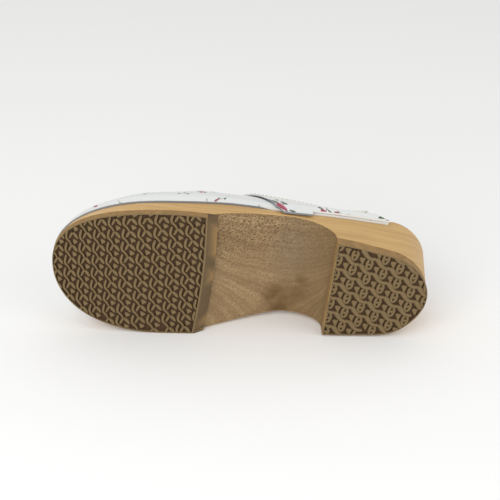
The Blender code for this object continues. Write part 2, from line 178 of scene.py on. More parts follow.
# Finer sections than the solids have
SOLE_SECTIONS = 150
SECTION_GAP = 0.6
BREAST_SECTIONS = 26
TREAD_SECTIONS = 90
HEEL_SECTIONS = 60
BACK_RIBS = 84
TOE_RIBS = 96
RIB_ROWS = 52
WALL_ROWS = 5
BAND_COLUMNS = 12
ROLL_STEPS = 16


def table(columns, *rows):
    """Rows of sizes under named columns."""
    return {name: np.array(values, float) for name, values in zip(columns.split(), zip(*rows))}


OUTLINE = table(
    "angle lateral medial",
    (0, 53.8, 55.9),
    (25, 51.9, 56.0),
    (50, 41.8, 43.5),
    (75, 38.4, 38.0),
    (100, 45.2, 44.0),
    (125, 51.1, 55.7),
    (150, 57.2, 67.0),
    (180, 64.0, 77.5),
)

HEIGHTS = table(
    "x edge rim dish",
    (0, 45.0, 52.0, 1.0),
    (30, 41.5, 48.0, 4.0),
    (63, 37.0, 42.5, 3.5),
    (105, 30.5, 36.0, 2.5),
    (128, 24.6, 30.2, 2.5),
    (150, 19.4, 25.0, 2.5),
    (175, 16.4, 22.0, 2.5),
    (205, 16.0, 21.6, 2.0),
    (246, 16.6, 22.4, 1.0),
)

CROWN = table(
    "x y z",
    (27, -3.0, 78.0),
    (54, -3.0, 85.0),
    (75, -3.0, 95.0),
    (95, -3.0, 103.5),
    (112, -3.0, 107.0),
    (128, -3.0, 100.0),
    (140, -3.5, 88.5),
    (155, -4.5, 76.0),
    (170, -6.5, 68.5),
    (185, -9.0, 65.0),
    (208, -12.0, 63.0),
)

TOPLINE = table(
    "x z",
    (27, 42.8),
    (30, 43.8),
    (36, 47.0),
    (45, 52.5),
    (60, 60.0),
    (80, 70.0),
    (100, 81.5),
    (115, 90.5),
    (128, 100.0),
)

FULLNESS = table(
    "x lateral_rise lateral_spread medial_rise medial_spread",
    (27, 0.00, 0.20, 0.00, 0.20),
    (64, 0.06, 0.20, 0.08, 0.20),
    (85, 0.13, 0.21, 0.15, 0.22),
    (105, 0.15, 0.22, 0.20, 0.28),
    (128, 0.20, 0.30, 0.28, 0.36),
    (160, 0.43, 0.50, 0.50, 0.50),
    (187, 0.44, 0.45, 0.52, 0.55),
    (220, 0.14, 0.44, 0.48, 0.58),
    (246, 0.16, 0.58, 0.16, 0.58),
)

# Lugs of one cell as strokes, each point given by how far it lies back towards the heel and out
# to the lateral side, and by the stroke's width there
FOREFOOT_LUGS = (
    (
        (-6.1, 7.8, 1.0), (-6.6, 5.2, 1.5), (-6.9, 2.9, 1.5), (-6.5, 1.3, 1.4),
        (-5.4, 0.2, 1.3), (-4.2, -0.8, 1.2), (-3.1, -2.2, 1.1), (-2.5, -3.1, 0.9),
    ),
    (
        (-2.6, 6.2, 0.9), (-3.1, 4.9, 1.4), (-3.7, 3.4, 1.4), (-4.4, 1.8, 1.0),
    ),
    (
        (-2.3, 6.2, 0.9), (-1.2, 5.5, 1.6), (0.1, 4.3, 1.9), (1.2, 3.1, 1.6),
        (1.8, 2.4, 0.8),
    ),
    (
        (-1.2, -0.4, 3.4), (-0.2, -0.1, 2.7), (0.9, 0.1, 1.7), (1.8, 0.1, 0.6),
    ),
)

HEEL_LUGS = (
    (
        (-1.9, 8.1, 1.7), (-0.6, 7.4, 2.6), (0.7, 6.0, 2.8), (1.9, 4.3, 2.6),
        (3.3, 2.8, 2.2), (5.0, 1.9, 1.9), (6.8, 1.7, 1.9), (8.5, 2.1, 1.7),
    ),
    (
        (4.6, 0.8, 1.1), (3.8, 0.1, 1.5), (3.3, -1.3, 1.6), (3.1, -3.1, 1.6),
        (3.3, -4.9, 1.5), (4.2, -6.1, 1.1),
    ),
    (
        (5.5, 0.8, 1.1), (6.4, 0.0, 1.5), (6.7, -1.5, 1.6), (6.4, -3.4, 1.6),
        (5.7, -5.1, 1.5), (4.4, -6.2, 1.1),
    ),
    (
        (3.7, -2.7, 1.2), (4.9, -2.4, 1.4), (6.0, -2.1, 1.2),
    ),
    (
        (-0.1, 2.4, 2.6), (-0.1, 1.3, 3.2), (0.0, -0.1, 2.4), (0.2, -1.5, 1.4),
        (0.4, -2.3, 0.7),
    ),
)

# Printed sprays in a unit circle: part, place, turn in degrees, length and width or bow
ROSE_SPRAY = (
    ("stem", -0.2, -0.6, 238, 1.9, 0.35),
    ("stem", 0.5, 0.7, 52, 1.6, -0.3),
    ("leaf", 1.25, 0.55, 25, 0.62, 0.30),
    ("leaf", 1.15, -0.45, -38, 0.58, 0.28),
    ("leaf", -1.2, 0.35, 165, 0.6, 0.3),
    ("leaf", -0.95, -0.95, 222, 0.66, 0.3),
    ("leaf", 0.25, 1.3, 80, 0.55, 0.27),
    ("leaf", 0.2, -1.3, -85, 0.5, 0.25),
    ("leaf", 1.35, 1.55, 70, 0.38, 0.2),
    ("bud", 1.5, 1.25, 40, 0.42, 0.28),
    ("rose", 0.0, 0.0, 20, 0.9, 0.9),
    ("rose", -0.85, 0.75, 130, 0.48, 0.48),
)

BUD_SPRIG = (
    ("stem", -1.5, -0.7, 22, 1.7, 0.25),
    ("stem", 0.0, 0.0, 62, 1.5, -0.22),
    ("stem", -0.1, 0.0, -18, 1.2, 0.2),
    ("leaf", -0.75, -0.1, 110, 0.42, 0.24),
    ("leaf", -1.05, -0.85, 200, 0.45, 0.24),
    ("leaf", -0.1, -0.75, -75, 0.46, 0.25),
    ("leaf", 0.85, -0.75, -30, 0.46, 0.24),
    ("leaf", 1.1, -0.15, 12, 0.44, 0.24),
    ("leaf", 0.7, 0.75, 30, 0.38, 0.2),
    ("leaf", -0.05, 0.95, 130, 0.38, 0.2),
    ("bud", 0.15, 0.05, 60, 0.62, 0.4),
    ("bud", 0.55, 1.4, 75, 0.4, 0.25),
)

TWIG = (
    ("stem", -1.6, -0.2, 8, 2.4, 0.18),
    ("leaf", -0.5, 0.35, 65, 0.36, 0.17),
    ("leaf", 0.25, -0.25, -40, 0.36, 0.17),
    ("leaf", 0.95, 0.35, 20, 0.36, 0.17),
    ("bud", 0.75, 0.05, 5, 0.4, 0.25),
)

LEAF_BITS = (
    ("stem", -1.2, -0.1, 5, 2.2, 0.2),
    ("leaf", -0.6, 0.3, 60, 0.36, 0.17),
    ("leaf", 0.1, -0.2, -35, 0.36, 0.17),
    ("leaf", 0.85, 0.4, 35, 0.36, 0.17),
)

SINGLE_BUD = (
    ("stem", -1.3, -0.5, 20, 1.6, 0.2),
    ("leaf", -0.5, 0.4, 70, 0.42, 0.2),
    ("leaf", 0.1, -0.5, -50, 0.42, 0.2),
    ("bud", 0.5, 0.15, 25, 0.62, 0.4),
)

SPRAYS = {
    "rose_spray": ROSE_SPRAY,
    "bud_sprig": BUD_SPRIG,
    "twig": TWIG,
    "leaf_bits": LEAF_BITS,
    "single_bud": SINGLE_BUD,
}

# One repeat of the print: spray, place on the flat leather, turn in degrees and size
PRINT_REPEAT = 76.0
PRINT_CHART = (
    ("rose_spray", 20.0, 56.0, 30, 6.8),
    ("bud_sprig", 52.0, 30.0, 70, 7.2),
    ("single_bud", 23.0, 14.0, 60, 5.6),
    ("twig", 44.0, 55.0, 150, 5.0),
    ("twig", 8.0, 34.0, 80, 4.8),
    ("twig", 12.0, 9.0, 20, 4.4),
    ("leaf_bits", 36.0, 70.0, 340, 4.4),
    ("leaf_bits", 62.0, 62.0, 250, 4.4),
    ("leaf_bits", 68.0, 14.0, 30, 4.4),
)
# How far the repeat is moved on each piece of leather
VAMP_SHIFT = (23.0, 6.0)
WING_SHIFT = (27.7, -15.0)


# Curves and lines of the form


def read(rows, key, column, at):
    """Smooth curve through a column of a table, with no overshoot between its rows."""
    x, y = rows[key], rows[column]
    step = np.diff(x)
    slope = np.diff(y) / step
    turn = np.empty(len(x))
    turn[0], turn[-1] = slope[0], slope[-1]
    before, after = slope[:-1], slope[1:]
    level = before * after <= 0
    near = 2 * step[1:] + step[:-1]
    far = step[1:] + 2 * step[:-1]
    safe_before = np.where(level, 1, before)
    safe_after = np.where(level, 1, after)
    turn[1:-1] = np.where(level, 0, (near + far) / (near / safe_before + far / safe_after))
    at = np.clip(np.asarray(at, float), x[0], x[-1])
    i = np.clip(np.searchsorted(x, at, side="right") - 1, 0, len(x) - 2)
    t = (at - x[i]) / step[i]
    rise = y[i] * (1 + 2 * t) * (1 - t) ** 2 + y[i + 1] * t**2 * (3 - 2 * t)
    return rise + step[i] * (turn[i] * t * (1 - t) ** 2 - turn[i + 1] * t**2 * (1 - t))


def ease(value, start, end):
    """0 before start, 1 after end, and smooth between."""
    t = np.clip((np.asarray(value, float) - start) / (end - start), 0, 1)
    return t * t * (3 - 2 * t)


def angle_at(x):
    """Station angle of a place along the sole."""
    return np.arccos(1 - 2 * np.asarray(x, float) / SOLE_LENGTH)


def place_at(angle):
    """Place along the sole of a station angle."""
    return SOLE_LENGTH / 2 * (1 - np.cos(angle))


def on_outline(angle, side):
    """Points of the ground outline at station angles."""
    breadth = read(OUTLINE, "angle", SIDE_NAMES[side], np.degrees(angle))
    return np.stack([place_at(angle), side * np.sin(angle) * breadth], axis=-1)


def outline(angle, side, grow=0.0):
    """The outline moved outwards by grow, square to itself."""
    angle = np.asarray(angle, float)
    low = np.clip(angle - NUDGE, 0, math.pi)
    high = np.clip(angle + NUDGE, 0, math.pi)
    along = on_outline(high, side) - on_outline(low, side)
    out = side * np.stack([-along[..., 1], along[..., 0]], axis=-1)
    out /= np.linalg.norm(out, axis=-1, keepdims=True)
    return on_outline(angle, side) + np.asarray(grow)[..., None] * out


def middle(angles, grow):
    """Places along the middle line, where the two sides of an outline meet."""
    return np.mean([outline(angles, side, grow)[:, 0] for side in SIDES], axis=0)


def toe_spring(x):
    """Lift of the sole's underside towards the toe."""
    share = np.clip((x - TOE_SPRING_START) / (SOLE_LENGTH - TOE_SPRING_START), 0, None)
    return TOE_SPRING * share**2


def underside(x):
    """Height of the wood's underside: heel, breast, arch, forefoot and toe spring."""
    x = np.asarray(x, float)
    top_x, top_z = ARCH_TOP
    back = np.clip((top_x - x) / (top_x - HEEL_BREAST), 0, 1)
    breast = HEEL_TREAD + (top_z - HEEL_TREAD) * np.sqrt(1 - back**2)
    front = np.clip((x - top_x) / (TREAD_END - TREAD_BEVEL / 2 - top_x), 0, 1)
    fall = top_z - (top_z - FOREFOOT_TREAD) * front**ARCH_FALL
    return np.where(x < top_x, breast, fall) + toe_spring(x)


def flare(x, height):
    """How far the sole's wall stands out from the ground outline at a height."""
    low = underside(x)
    share = (height - low) / (read(HEIGHTS, "x", "rim", x) - low)
    heel = np.clip(1 - x / HEEL_FLARE_REACH, 0, None)
    toe = np.clip((x - TOE_RAKE_START) / (SOLE_LENGTH - TOE_RAKE_START), 0, None)
    return (HEEL_FLARE * heel**FLARE_CURVE - TOE_RAKE * toe**FLARE_CURVE) * share


def crown_place(base_x):
    """Where along the crown a rib ends: the toe's ribs lean back like a fan."""
    reach = SOLE_LENGTH - TOE_LAG_START
    return base_x - TOE_LAG * (np.clip(base_x - TOE_LAG_START, 0, None) / reach) ** 2


def rib_ends(angle, side):
    """Lower edge, rim and crown points of the upper's ribs."""
    angle = np.asarray(angle, float)
    base_x = place_at(angle)
    edge = read(HEIGHTS, "x", "edge", base_x)
    rim = read(HEIGHTS, "x", "rim", base_x) - LAP_CLEARANCE
    proud = LEATHER + GAP - REBATE
    hem = outline(angle, side, proud + flare(base_x, edge))
    hem = np.concatenate([hem, edge[..., None]], axis=-1)
    foot = outline(angle, side, proud + flare(base_x, rim))
    foot = np.concatenate([foot, rim[..., None]], axis=-1)
    crown_x = crown_place(base_x)
    crown = [crown_x, read(CROWN, "x", "y", crown_x), read(CROWN, "x", "z", crown_x)]
    return hem, foot, np.stack(crown, axis=-1)


def on_rib(angle, side, share):
    """Points of the upper's outer face, from 0 at the leather's lower edge to 1 at the crown."""
    base_x = place_at(np.asarray(angle, float))
    hem, foot, crown = rib_ends(angle, side)
    rise = read(FULLNESS, "x", SIDE_NAMES[side] + "_rise", base_x)[..., None]
    spread = read(FULLNESS, "x", SIDE_NAMES[side] + "_spread", base_x)[..., None]
    low = foot + rise * (crown - foot) * (0, 0, 1)
    high = crown + spread * (foot - crown) * (1, 1, 0)
    share = np.asarray(share, float)
    t = np.clip((share - LAP_SHARE) / (1 - LAP_SHARE), 0, 1)[..., None]
    bend = foot * (1 - t) ** 3 + 3 * low * t * (1 - t) ** 2 + 3 * high * t**2 * (1 - t)
    bend = bend + crown * t**3
    return bend + np.clip(1 - share / LAP_SHARE, 0, 1)[..., None] * (hem - foot)


def outward(angle, side, share):
    """Unit normals of the upper's outer face. At the crown they take in both sides' ribs."""
    angle, share = np.broadcast_arrays(np.asarray(angle, float), np.asarray(share, float))
    along = on_rib(angle + NUDGE, side, share) - on_rib(angle - NUDGE, side, share)
    above = on_rib(angle, side, np.clip(share + NUDGE, 0, 1))
    across = on_rib(angle, -side, 2 - share - NUDGE)
    above = np.where((share + NUDGE > 1)[..., None], across, above)
    up = above - on_rib(angle, side, np.clip(share - NUDGE, 0, 1))
    normal = side * np.cross(up, along)
    return normal / np.linalg.norm(normal, axis=-1, keepdims=True)


def topline_share(angle, side):
    """Share of each rib that is left below the topline."""
    angle = np.atleast_1d(np.asarray(angle, float))
    shares = np.linspace(0, 1, HEIGHT_STEPS)
    found = np.ones(len(angle))
    for i, (station, x) in enumerate(zip(angle, place_at(angle))):
        if x < PEAK - WELD:
            heights = on_rib(np.full_like(shares, station), side, shares)[:, 2]
            found[i] = np.interp(read(TOPLINE, "x", "z", x), heights, shares)
    return found


def rib_shares(top):
    """Shares of the points along each rib up to its top, some of them on the sole's wall."""
    top = np.asarray(top, float)[..., None]
    lap = np.minimum(LAP_SHARE, top / 2)
    bend = np.linspace(0, 1, RIB_ROWS - 1)[1:]
    wall = np.linspace(0, 1, WALL_ROWS)
    return np.concatenate([lap * wall, lap + (top - lap) * bend], axis=-1)


def back_angles(start=UPPER_BACK):
    """Stations from start, near the wings' back ends, to the peak, close together at both."""
    turn = np.linspace(0, math.pi, BACK_RIBS + 1)
    return angle_at(start + (PEAK - start) * (1 - np.cos(turn)) / 2)


def band_places():
    """Places along the collar's band, from the peak to its front border on the crown."""
    left = 1 - np.arange(1, BAND_COLUMNS + 1) / BAND_COLUMNS
    return WING_FRONT_TOP - (WING_FRONT_TOP - PEAK) * left**2


def leather_flat(angle, side, share):
    """Places on the leather laid flat: from the crown line outwards along each rib."""
    _, foot, crown = rib_ends(angle, side)
    away = (foot - crown)[..., :2]
    away /= np.linalg.norm(away, axis=-1, keepdims=True)
    steps = np.linspace(0, 1, LENGTH_STEPS)
    grid = on_rib(np.repeat(np.asarray(angle)[:, None], len(steps), axis=1), side, steps[None])
    runs = np.linalg.norm(np.diff(grid, axis=1), axis=-1)
    down = np.concatenate([np.cumsum(runs[:, ::-1], axis=1)[:, ::-1], np.zeros((len(runs), 1))], 1)
    length = np.stack([np.interp(row, steps, drop) for row, drop in zip(share, down)])
    flat = crown[:, None, :2] + length[..., None] * away[:, None]
    return np.concatenate([flat, np.zeros_like(length)[..., None]], axis=-1)


def topline():
    """Points along the bound topline from the lateral side to the medial one, with the wall's
    outward normal and the direction out of its edge at each."""
    angles = back_angles(BINDING_BACK)
    points, normals = [], []
    for side in SIDES:
        share = topline_share(angles, side)
        points.append(on_rib(angles, side, share))
        normals.append(outward(angles, side, share))
    points = np.concatenate([points[0], points[1][-2::-1]])
    normals = np.concatenate([normals[0], normals[1][-2::-1]])
    along = np.gradient(points, axis=0)
    along /= np.linalg.norm(along, axis=1, keepdims=True)
    normals -= along * (normals * along).sum(axis=1, keepdims=True)
    normals /= np.linalg.norm(normals, axis=1, keepdims=True)
    return points, normals, np.cross(along, normals)


def lying_pose():
    """Turn and place of the clog's own frame, from the two tread faces in the record."""
    faces = {mount["name"]: mount for mount in frame["record"]["mounts"]}
    heel = Vector(faces["heel_tread_face"]["pos_m"])
    ahead = (Vector(faces["forefoot_tread_face"]["pos_m"]) - heel).normalized()
    up = -Vector(faces["heel_tread_face"]["axis"]).normalized()
    turn = Matrix((ahead, up.cross(ahead).normalized(), up)).transposed()
    pose = turn.to_4x4()
    pose.translation = heel - ahead * HEEL_MARK * MM
    return pose


def laid(points):
    """Points of the clog's own frame in millimetres, as metres in the lying pose."""
    pose = np.array(lying_pose())
    return points * MM @ pose[:3, :3].T + pose[:3, 3]


# Meshes


@contextmanager
def editing(mesh):
    """Opens a mesh for bmesh's tools and puts the result back."""
    builder = bmesh.new()
    builder.from_mesh(mesh)
    yield builder
    builder.to_mesh(mesh)
    builder.free()


def linked(name, data):
    """A new object in the scene."""
    obj = bpy.data.objects.new(name, data)
    bpy.context.scene.collection.objects.link(obj)
    return obj


class Skin:
    """Grids of points in the clog's frame, gathered into one mesh with values at its points."""

    def __init__(self):
        self.points, self.faces, self.values, self.count = [], [], {}, 0

    def add(self, points, close=False, **values):
        """Adds a grid with values at its points, as a tube where its rows close on themselves."""
        rows, columns = points.shape[:2]
        index = self.count + np.arange(rows * columns).reshape(rows, columns)
        if close:
            index = np.concatenate([index, index[:, :1]], axis=1)
        corners = [index[:-1, :-1], index[:-1, 1:], index[1:, 1:], index[1:, :-1]]
        self.faces.append(np.stack(corners, axis=-1).reshape(-1, 4))
        self.points.append(points.reshape(-1, 3))
        for name, value in values.items():
            wide = np.ndim(value) == 3
            shape = points.shape[:2] + ((3,) if wide else ())
            value = np.broadcast_to(value, shape)
            self.values.setdefault(name, []).append(value.reshape((-1, 3) if wide else -1))
        self.count += rows * columns
        return self

    def mesh(self, name):
        """Welds the seams and returns the mesh in the lying pose, with its faces one way round."""
        points = np.concatenate(self.points)
        mesh = bpy.data.meshes.new(name)
        mesh.from_pydata(laid(points).tolist(), [], np.concatenate(self.faces).tolist())
        for key, parts in self.values.items():
            store(mesh, key, np.concatenate(parts))
        store(mesh, "own_place", points * MM)
        with editing(mesh) as builder:
            bmesh.ops.remove_doubles(builder, verts=builder.verts, dist=WELD * MM)
            bmesh.ops.recalc_face_normals(builder, faces=builder.faces)
        return mesh


def store(mesh, name, value):
    """Keeps a value or a vector at each point of a mesh."""
    kind = "FLOAT_VECTOR" if np.ndim(value) == 2 else "FLOAT"
    data = mesh.attributes.new(name, kind, "POINT").data
    data.foreach_set("vector" if kind == "FLOAT_VECTOR" else "value", np.ravel(value).astype(float))


def show(name, mesh, materials, replaced=(), smooth_angle=40.0):
    """Links a finished mesh, rides it on the clog and lets it stand for its solids."""
    mesh.shade_smooth()
    mesh.set_sharp_from_angle(angle=math.radians(smooth_angle))
    for made in materials:
        mesh.materials.append(made)
    obj = linked(name, mesh)
    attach(obj, "root")
    if replaced:
        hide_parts(*replaced)


def to_plain_mesh(obj):
    """Mesh of an object with its modifiers applied; the object itself is removed."""
    graph = bpy.context.evaluated_depsgraph_get()
    mesh = bpy.data.meshes.new_from_object(obj.evaluated_get(graph), depsgraph=graph)
    bpy.data.objects.remove(obj)
    return mesh


def walled(mesh, materials, thickness, offset):
    """Gives an open skin its thickness, with its outside, inside and cut edge in three slots."""
    up = lying_pose().to_3x3().col[2]
    crown = max(mesh.polygons, key=lambda face: face.center.dot(up))
    if crown.normal.dot(up) < 0:
        mesh.flip_normals()
    for made in materials:
        mesh.materials.append(made)
    obj = linked("skin", mesh)
    wall = obj.modifiers.new("wall", "SOLIDIFY")
    wall.thickness = thickness * MM
    wall.offset = offset
    wall.material_offset = 1
    wall.material_offset_rim = 2
    solid = to_plain_mesh(obj)
    store(solid, "skin_depth", np.repeat([0.0, 1.0], len(mesh.vertices)))
    return solid


# Node helpers


def tint(code):
    """Linear colour of a hex code."""
    parts = [int(code[i : i + 2], 16) / 255 for i in (1, 3, 5)]
    return tuple(p / 12.92 if p <= 0.04045 else ((p + 0.055) / 1.055) ** 2.4 for p in parts)


def put(tree, socket, value):
    """Links or sets an input."""
    if isinstance(value, bpy.types.NodeSocket):
        tree.links.new(value, socket)
    elif socket.type == "RGBA" and len(value) == 3:
        socket.default_value = (*value, 1.0)
    else:
        socket.default_value = value


def node(tree, kind, inputs=None, **settings):
    """A new node with its settings and inputs."""
    made = tree.nodes.new(kind)
    for key, value in settings.items():
        setattr(made, key, value)
    for key, value in (inputs or {}).items():
        put(tree, made.inputs[key], value)
    return made


def calc(tree, operation, *values):
    """Result of a Math node."""
    made = node(tree, "ShaderNodeMath", operation=operation)
    for socket, value in zip(made.inputs, values):
        put(tree, socket, value)
    return made.outputs[0]


def vector(tree, operation, *values):
    """Result of a Vector Math node."""
    made = node(tree, "ShaderNodeVectorMath", operation=operation)
    for socket, value in zip(made.inputs, values):
        put(tree, socket, value)
    return made.outputs["Value" if operation in ("LENGTH", "DISTANCE", "DOT_PRODUCT") else 0]


def blend(tree, share, low, high):
    """Colour between two others."""
    made = node(tree, "ShaderNodeMix", data_type="RGBA")
    put(tree, made.inputs["Factor"], share)
    put(tree, made.inputs[6], low)
    put(tree, made.inputs[7], high)
    return made.outputs[2]


def layered(tree, colour, *layers):
    """A colour with others laid over it: each has its mask, its strength and its colour."""
    for mask, strength, over in layers:
        colour = blend(tree, calc(tree, "MULTIPLY", mask, strength), colour, over)
    return colour


def span(tree, value, low, high, to_low=0.0, to_high=1.0):
    """Value carried smoothly from one range to another, held at its ends."""
    made = node(tree, "ShaderNodeMapRange", interpolation_type="SMOOTHSTEP", clamp=False)
    for socket, number in zip(made.inputs, (value, low, high, to_low, to_high)):
        put(tree, socket, number)
    return made.outputs[0]


def noise(tree, place, scale, detail=3.0, roughness=0.55, distortion=0.0):
    """Noise value at a place."""
    inputs = {"Vector": place, "Scale": scale, "Detail": detail}
    inputs.update(Roughness=roughness, Distortion=distortion)
    return node(tree, "ShaderNodeTexNoise", inputs).outputs["Fac"]


def mottled(tree, place, scale):
    """Mottle of a material, finer than plain noise."""
    return noise(tree, place, scale, detail=4.0, roughness=0.6)


def own_value(tree, name, as_vector=False):
    """Value that the piece keeps at its points."""
    made = node(tree, "ShaderNodeAttribute", attribute_name=name)
    return made.outputs["Vector" if as_vector else "Fac"]


def group(name, inputs, outputs):
    """A new shader node group with its sockets; returns it with its ends."""
    tree = bpy.data.node_groups.new(name, "ShaderNodeTree")
    for label, kind in inputs:
        tree.interface.new_socket(label, in_out="INPUT", socket_type="NodeSocket" + kind)
    for label, kind in outputs:
        tree.interface.new_socket(label, in_out="OUTPUT", socket_type="NodeSocket" + kind)
    start = tree.nodes.new("NodeGroupInput")
    end = tree.nodes.new("NodeGroupOutput")
    return tree, start.outputs, end.inputs


def use(tree, made_group, **inputs):
    """Places a node group and returns its outputs."""
    made = node(tree, "ShaderNodeGroup", node_tree=made_group)
    for key, value in inputs.items():
        put(tree, made.inputs[key], value)
    return made.outputs


def material(name):
    """A new material with its shader."""
    made = bpy.data.materials.new(name)
    made.use_nodes = True
    tree = made.node_tree
    return made, tree, tree.nodes["Principled BSDF"]


def dress(tree, shader, inputs, height=None, strength=0.0, distance=0.0):
    """Sets or links a shader's inputs and feeds a bump into its normal."""
    for key, value in inputs.items():
        put(tree, shader.inputs[key], value)
    if height is not None:
        lift = {"Height": height, "Strength": strength, "Distance": distance}
        made = node(tree, "ShaderNodeBump", lift)
        put(tree, shader.inputs["Normal"], made.outputs["Normal"])


def made_once(library, name, maker, *values):
    """A material or node group that is made once and found again."""
    return library.get(name) or maker(*values)


# Shared effects


# Grain of the wood in turns per metre, along and across it, and the pith that the rings go round
WARP_GRAIN = (14.0, 26.0, 26.0)
FIBRE_GRAIN = (90.0, 1500.0, 1500.0)
FLECK_GRAIN = (700.0, 1150.0, 1150.0)
PITH = (0.0, -0.055, -0.05)
ALONG_SQUEEZE = (0.1, 1.0, 1.0)
BAND_RUN = (9.0, 0.0, 0.0)
BANDS_PER_METRE = 230.0
RINGS_PER_METRE = 2700.0
RING_SHARPNESS = 2.2
BAND_WARP = 2.5
RING_WARP = 16.0


def wood_figure():
    """Broad bands, growth rings, fine fibres, torn flecks and clouds of carved wood."""
    outputs = [(name, "Float") for name in ("Bands", "Rings", "Fibres", "Flecks", "Clouds")]
    tree, given, out = group("wood_figure", [("Place", "Vector")], outputs)
    place = given["Place"]
    warp = noise(tree, vector(tree, "MULTIPLY", place, WARP_GRAIN), 1.0, detail=2.0)
    squeezed = vector(tree, "MULTIPLY", place, ALONG_SQUEEZE)
    reach = vector(tree, "LENGTH", vector(tree, "SUBTRACT", squeezed, PITH))
    ahead = vector(tree, "DOT_PRODUCT", place, BAND_RUN)
    bent = calc(tree, "MULTIPLY", warp, BAND_WARP)
    layer = calc(tree, "MULTIPLY_ADD", reach, BANDS_PER_METRE, bent)
    layers = node(tree, "ShaderNodeCombineXYZ", {"X": layer, "Y": ahead}).outputs[0]
    put(tree, out["Bands"], mottled(tree, layers, 1.0))
    bent = calc(tree, "MULTIPLY", warp, RING_WARP)
    turns = calc(tree, "MULTIPLY_ADD", reach, RINGS_PER_METRE, bent)
    wave = calc(tree, "MULTIPLY_ADD", calc(tree, "SINE", turns), 0.5, 0.5)
    put(tree, out["Rings"], calc(tree, "POWER", wave, RING_SHARPNESS))
    fine = vector(tree, "MULTIPLY", place, FIBRE_GRAIN)
    put(tree, out["Fibres"], noise(tree, fine, 1.0, detail=4.0, roughness=0.65))
    torn = vector(tree, "MULTIPLY", place, FLECK_GRAIN)
    put(tree, out["Flecks"], noise(tree, torn, 1.0, detail=2.0, roughness=0.5, distortion=0.8))
    put(tree, out["Clouds"], mottled(tree, place, 70.0))
    return tree


def hide_grain():
    """Fine pebbled grain and soft waves of finished leather."""
    tree, given, out = group("hide_grain", [("Place", "Vector")], [("Height", "Float")])
    place = given["Place"]
    cells = node(tree, "ShaderNodeTexVoronoi", {"Vector": place, "Scale": 1300.0})
    pebbles = span(tree, cells.outputs["Distance"], 0.0, 0.7)
    waves = noise(tree, place, 160.0)
    put(tree, out["Height"], calc(tree, "MULTIPLY_ADD", waves, 2.4, pebbles))
    return tree


SPRAY_SOCKETS = [("Under", "Color"), ("Place", "Vector"), ("Centre", "Vector")]
PART_SOCKETS = SPRAY_SOCKETS + [("Along", "Vector"), ("Across", "Vector"), ("Bow", "Float")]


def leaf_shape(tree, given, along, across, colours):
    """A pointed leaf of two greens with a dark rib."""
    hump = calc(tree, "SUBTRACT", 1.0, calc(tree, "MULTIPLY", along, along))
    inside = calc(tree, "SUBTRACT", hump, calc(tree, "ABSOLUTE", across))
    blotch = noise(tree, given["Place"], 5.0, detail=2.0)
    tone = calc(tree, "ADD", calc(tree, "MULTIPLY", across, 0.7), blotch)
    green = blend(tree, span(tree, tone, 0.0, 1.0), colours.leaf_dark, colours.leaf_pale)
    rib = span(tree, calc(tree, "ABSOLUTE", across), 0.04, 0.16)
    return span(tree, inside, -0.06, 0.1), blend(tree, rib, colours.leaf_dark, green)


def bud_shape(tree, given, along, across, colours):
    """A furled bud, deep at its base and pale along one petal."""
    across = calc(tree, "MULTIPLY", across, calc(tree, "MULTIPLY_ADD", along, 0.25, 1.0))
    reach = calc(tree, "MULTIPLY_ADD", along, along, calc(tree, "MULTIPLY", across, across))
    fold = noise(tree, given["Place"], 4.5, detail=2.0)
    tone = calc(tree, "MULTIPLY_ADD", across, 0.55, calc(tree, "MULTIPLY", fold, 1.1))
    tone = calc(tree, "SUBTRACT", tone, calc(tree, "MULTIPLY", along, 0.12))
    pink = blend(tree, span(tree, tone, 0.58, 1.35), colours.rose_deep, colours.rose_pale)
    return span(tree, reach, 1.06, 0.88), pink


def rose_shape(tree, given, along, across, colours):
    """An open rose: petals swirling out from a deep heart."""
    ragged = noise(tree, given["Place"], 3.2, detail=2.0)
    squares = calc(tree, "MULTIPLY_ADD", along, along, calc(tree, "MULTIPLY", across, across))
    reach = calc(tree, "SQRT", squares)
    around = calc(tree, "ARCTAN2", across, along)
    scallop = calc(tree, "SINE", calc(tree, "MULTIPLY", around, 5.0))
    edge = calc(tree, "MULTIPLY_ADD", scallop, 0.09, reach)
    edge = calc(tree, "MULTIPLY_ADD", ragged, 0.3, edge)
    twist = calc(tree, "MULTIPLY_ADD", around, 2.0, calc(tree, "MULTIPLY", reach, 8.5))
    twist = calc(tree, "MULTIPLY_ADD", ragged, 5.0, twist)
    petal = calc(tree, "MULTIPLY_ADD", calc(tree, "SINE", twist), 0.32, 0.42)
    tone = calc(tree, "MULTIPLY_ADD", reach, 0.34, calc(tree, "SUBTRACT", petal, 0.12))
    pink = blend(tree, span(tree, tone, 0.12, 0.95), colours.rose_deep, colours.rose_pale)
    return span(tree, edge, 1.16, 1.04), pink


def stem_shape(tree, given, along, across, colours):
    """A thin stem, bowed to one side."""
    arch = calc(tree, "MULTIPLY", along, calc(tree, "SUBTRACT", 1.0, along))
    bow = calc(tree, "MULTIPLY", calc(tree, "MULTIPLY", arch, 4.0), given["Bow"])
    off = calc(tree, "ABSOLUTE", calc(tree, "SUBTRACT", across, bow))
    from_middle = calc(tree, "ABSOLUTE", calc(tree, "SUBTRACT", along, 0.5))
    ends = span(tree, from_middle, 0.5, 0.47)
    return calc(tree, "MULTIPLY", span(tree, off, 0.07, 0.02), ends), colours.stem


PART_SHAPES = {"leaf": leaf_shape, "bud": bud_shape, "rose": rose_shape, "stem": stem_shape}


def printed_part(name, colours):
    """A printed part laid over the colour under it, measured in shares of its length and width."""
    tree, given, out = group("printed_" + name, PART_SOCKETS, [("Over", "Color")])
    away = vector(tree, "SUBTRACT", given["Place"], given["Centre"])
    along = vector(tree, "DOT_PRODUCT", away, given["Along"])
    across = vector(tree, "DOT_PRODUCT", away, given["Across"])
    mask, colour = PART_SHAPES[name](tree, given, along, across, colours)
    put(tree, out["Over"], blend(tree, mask, given["Under"], colour))
    return tree


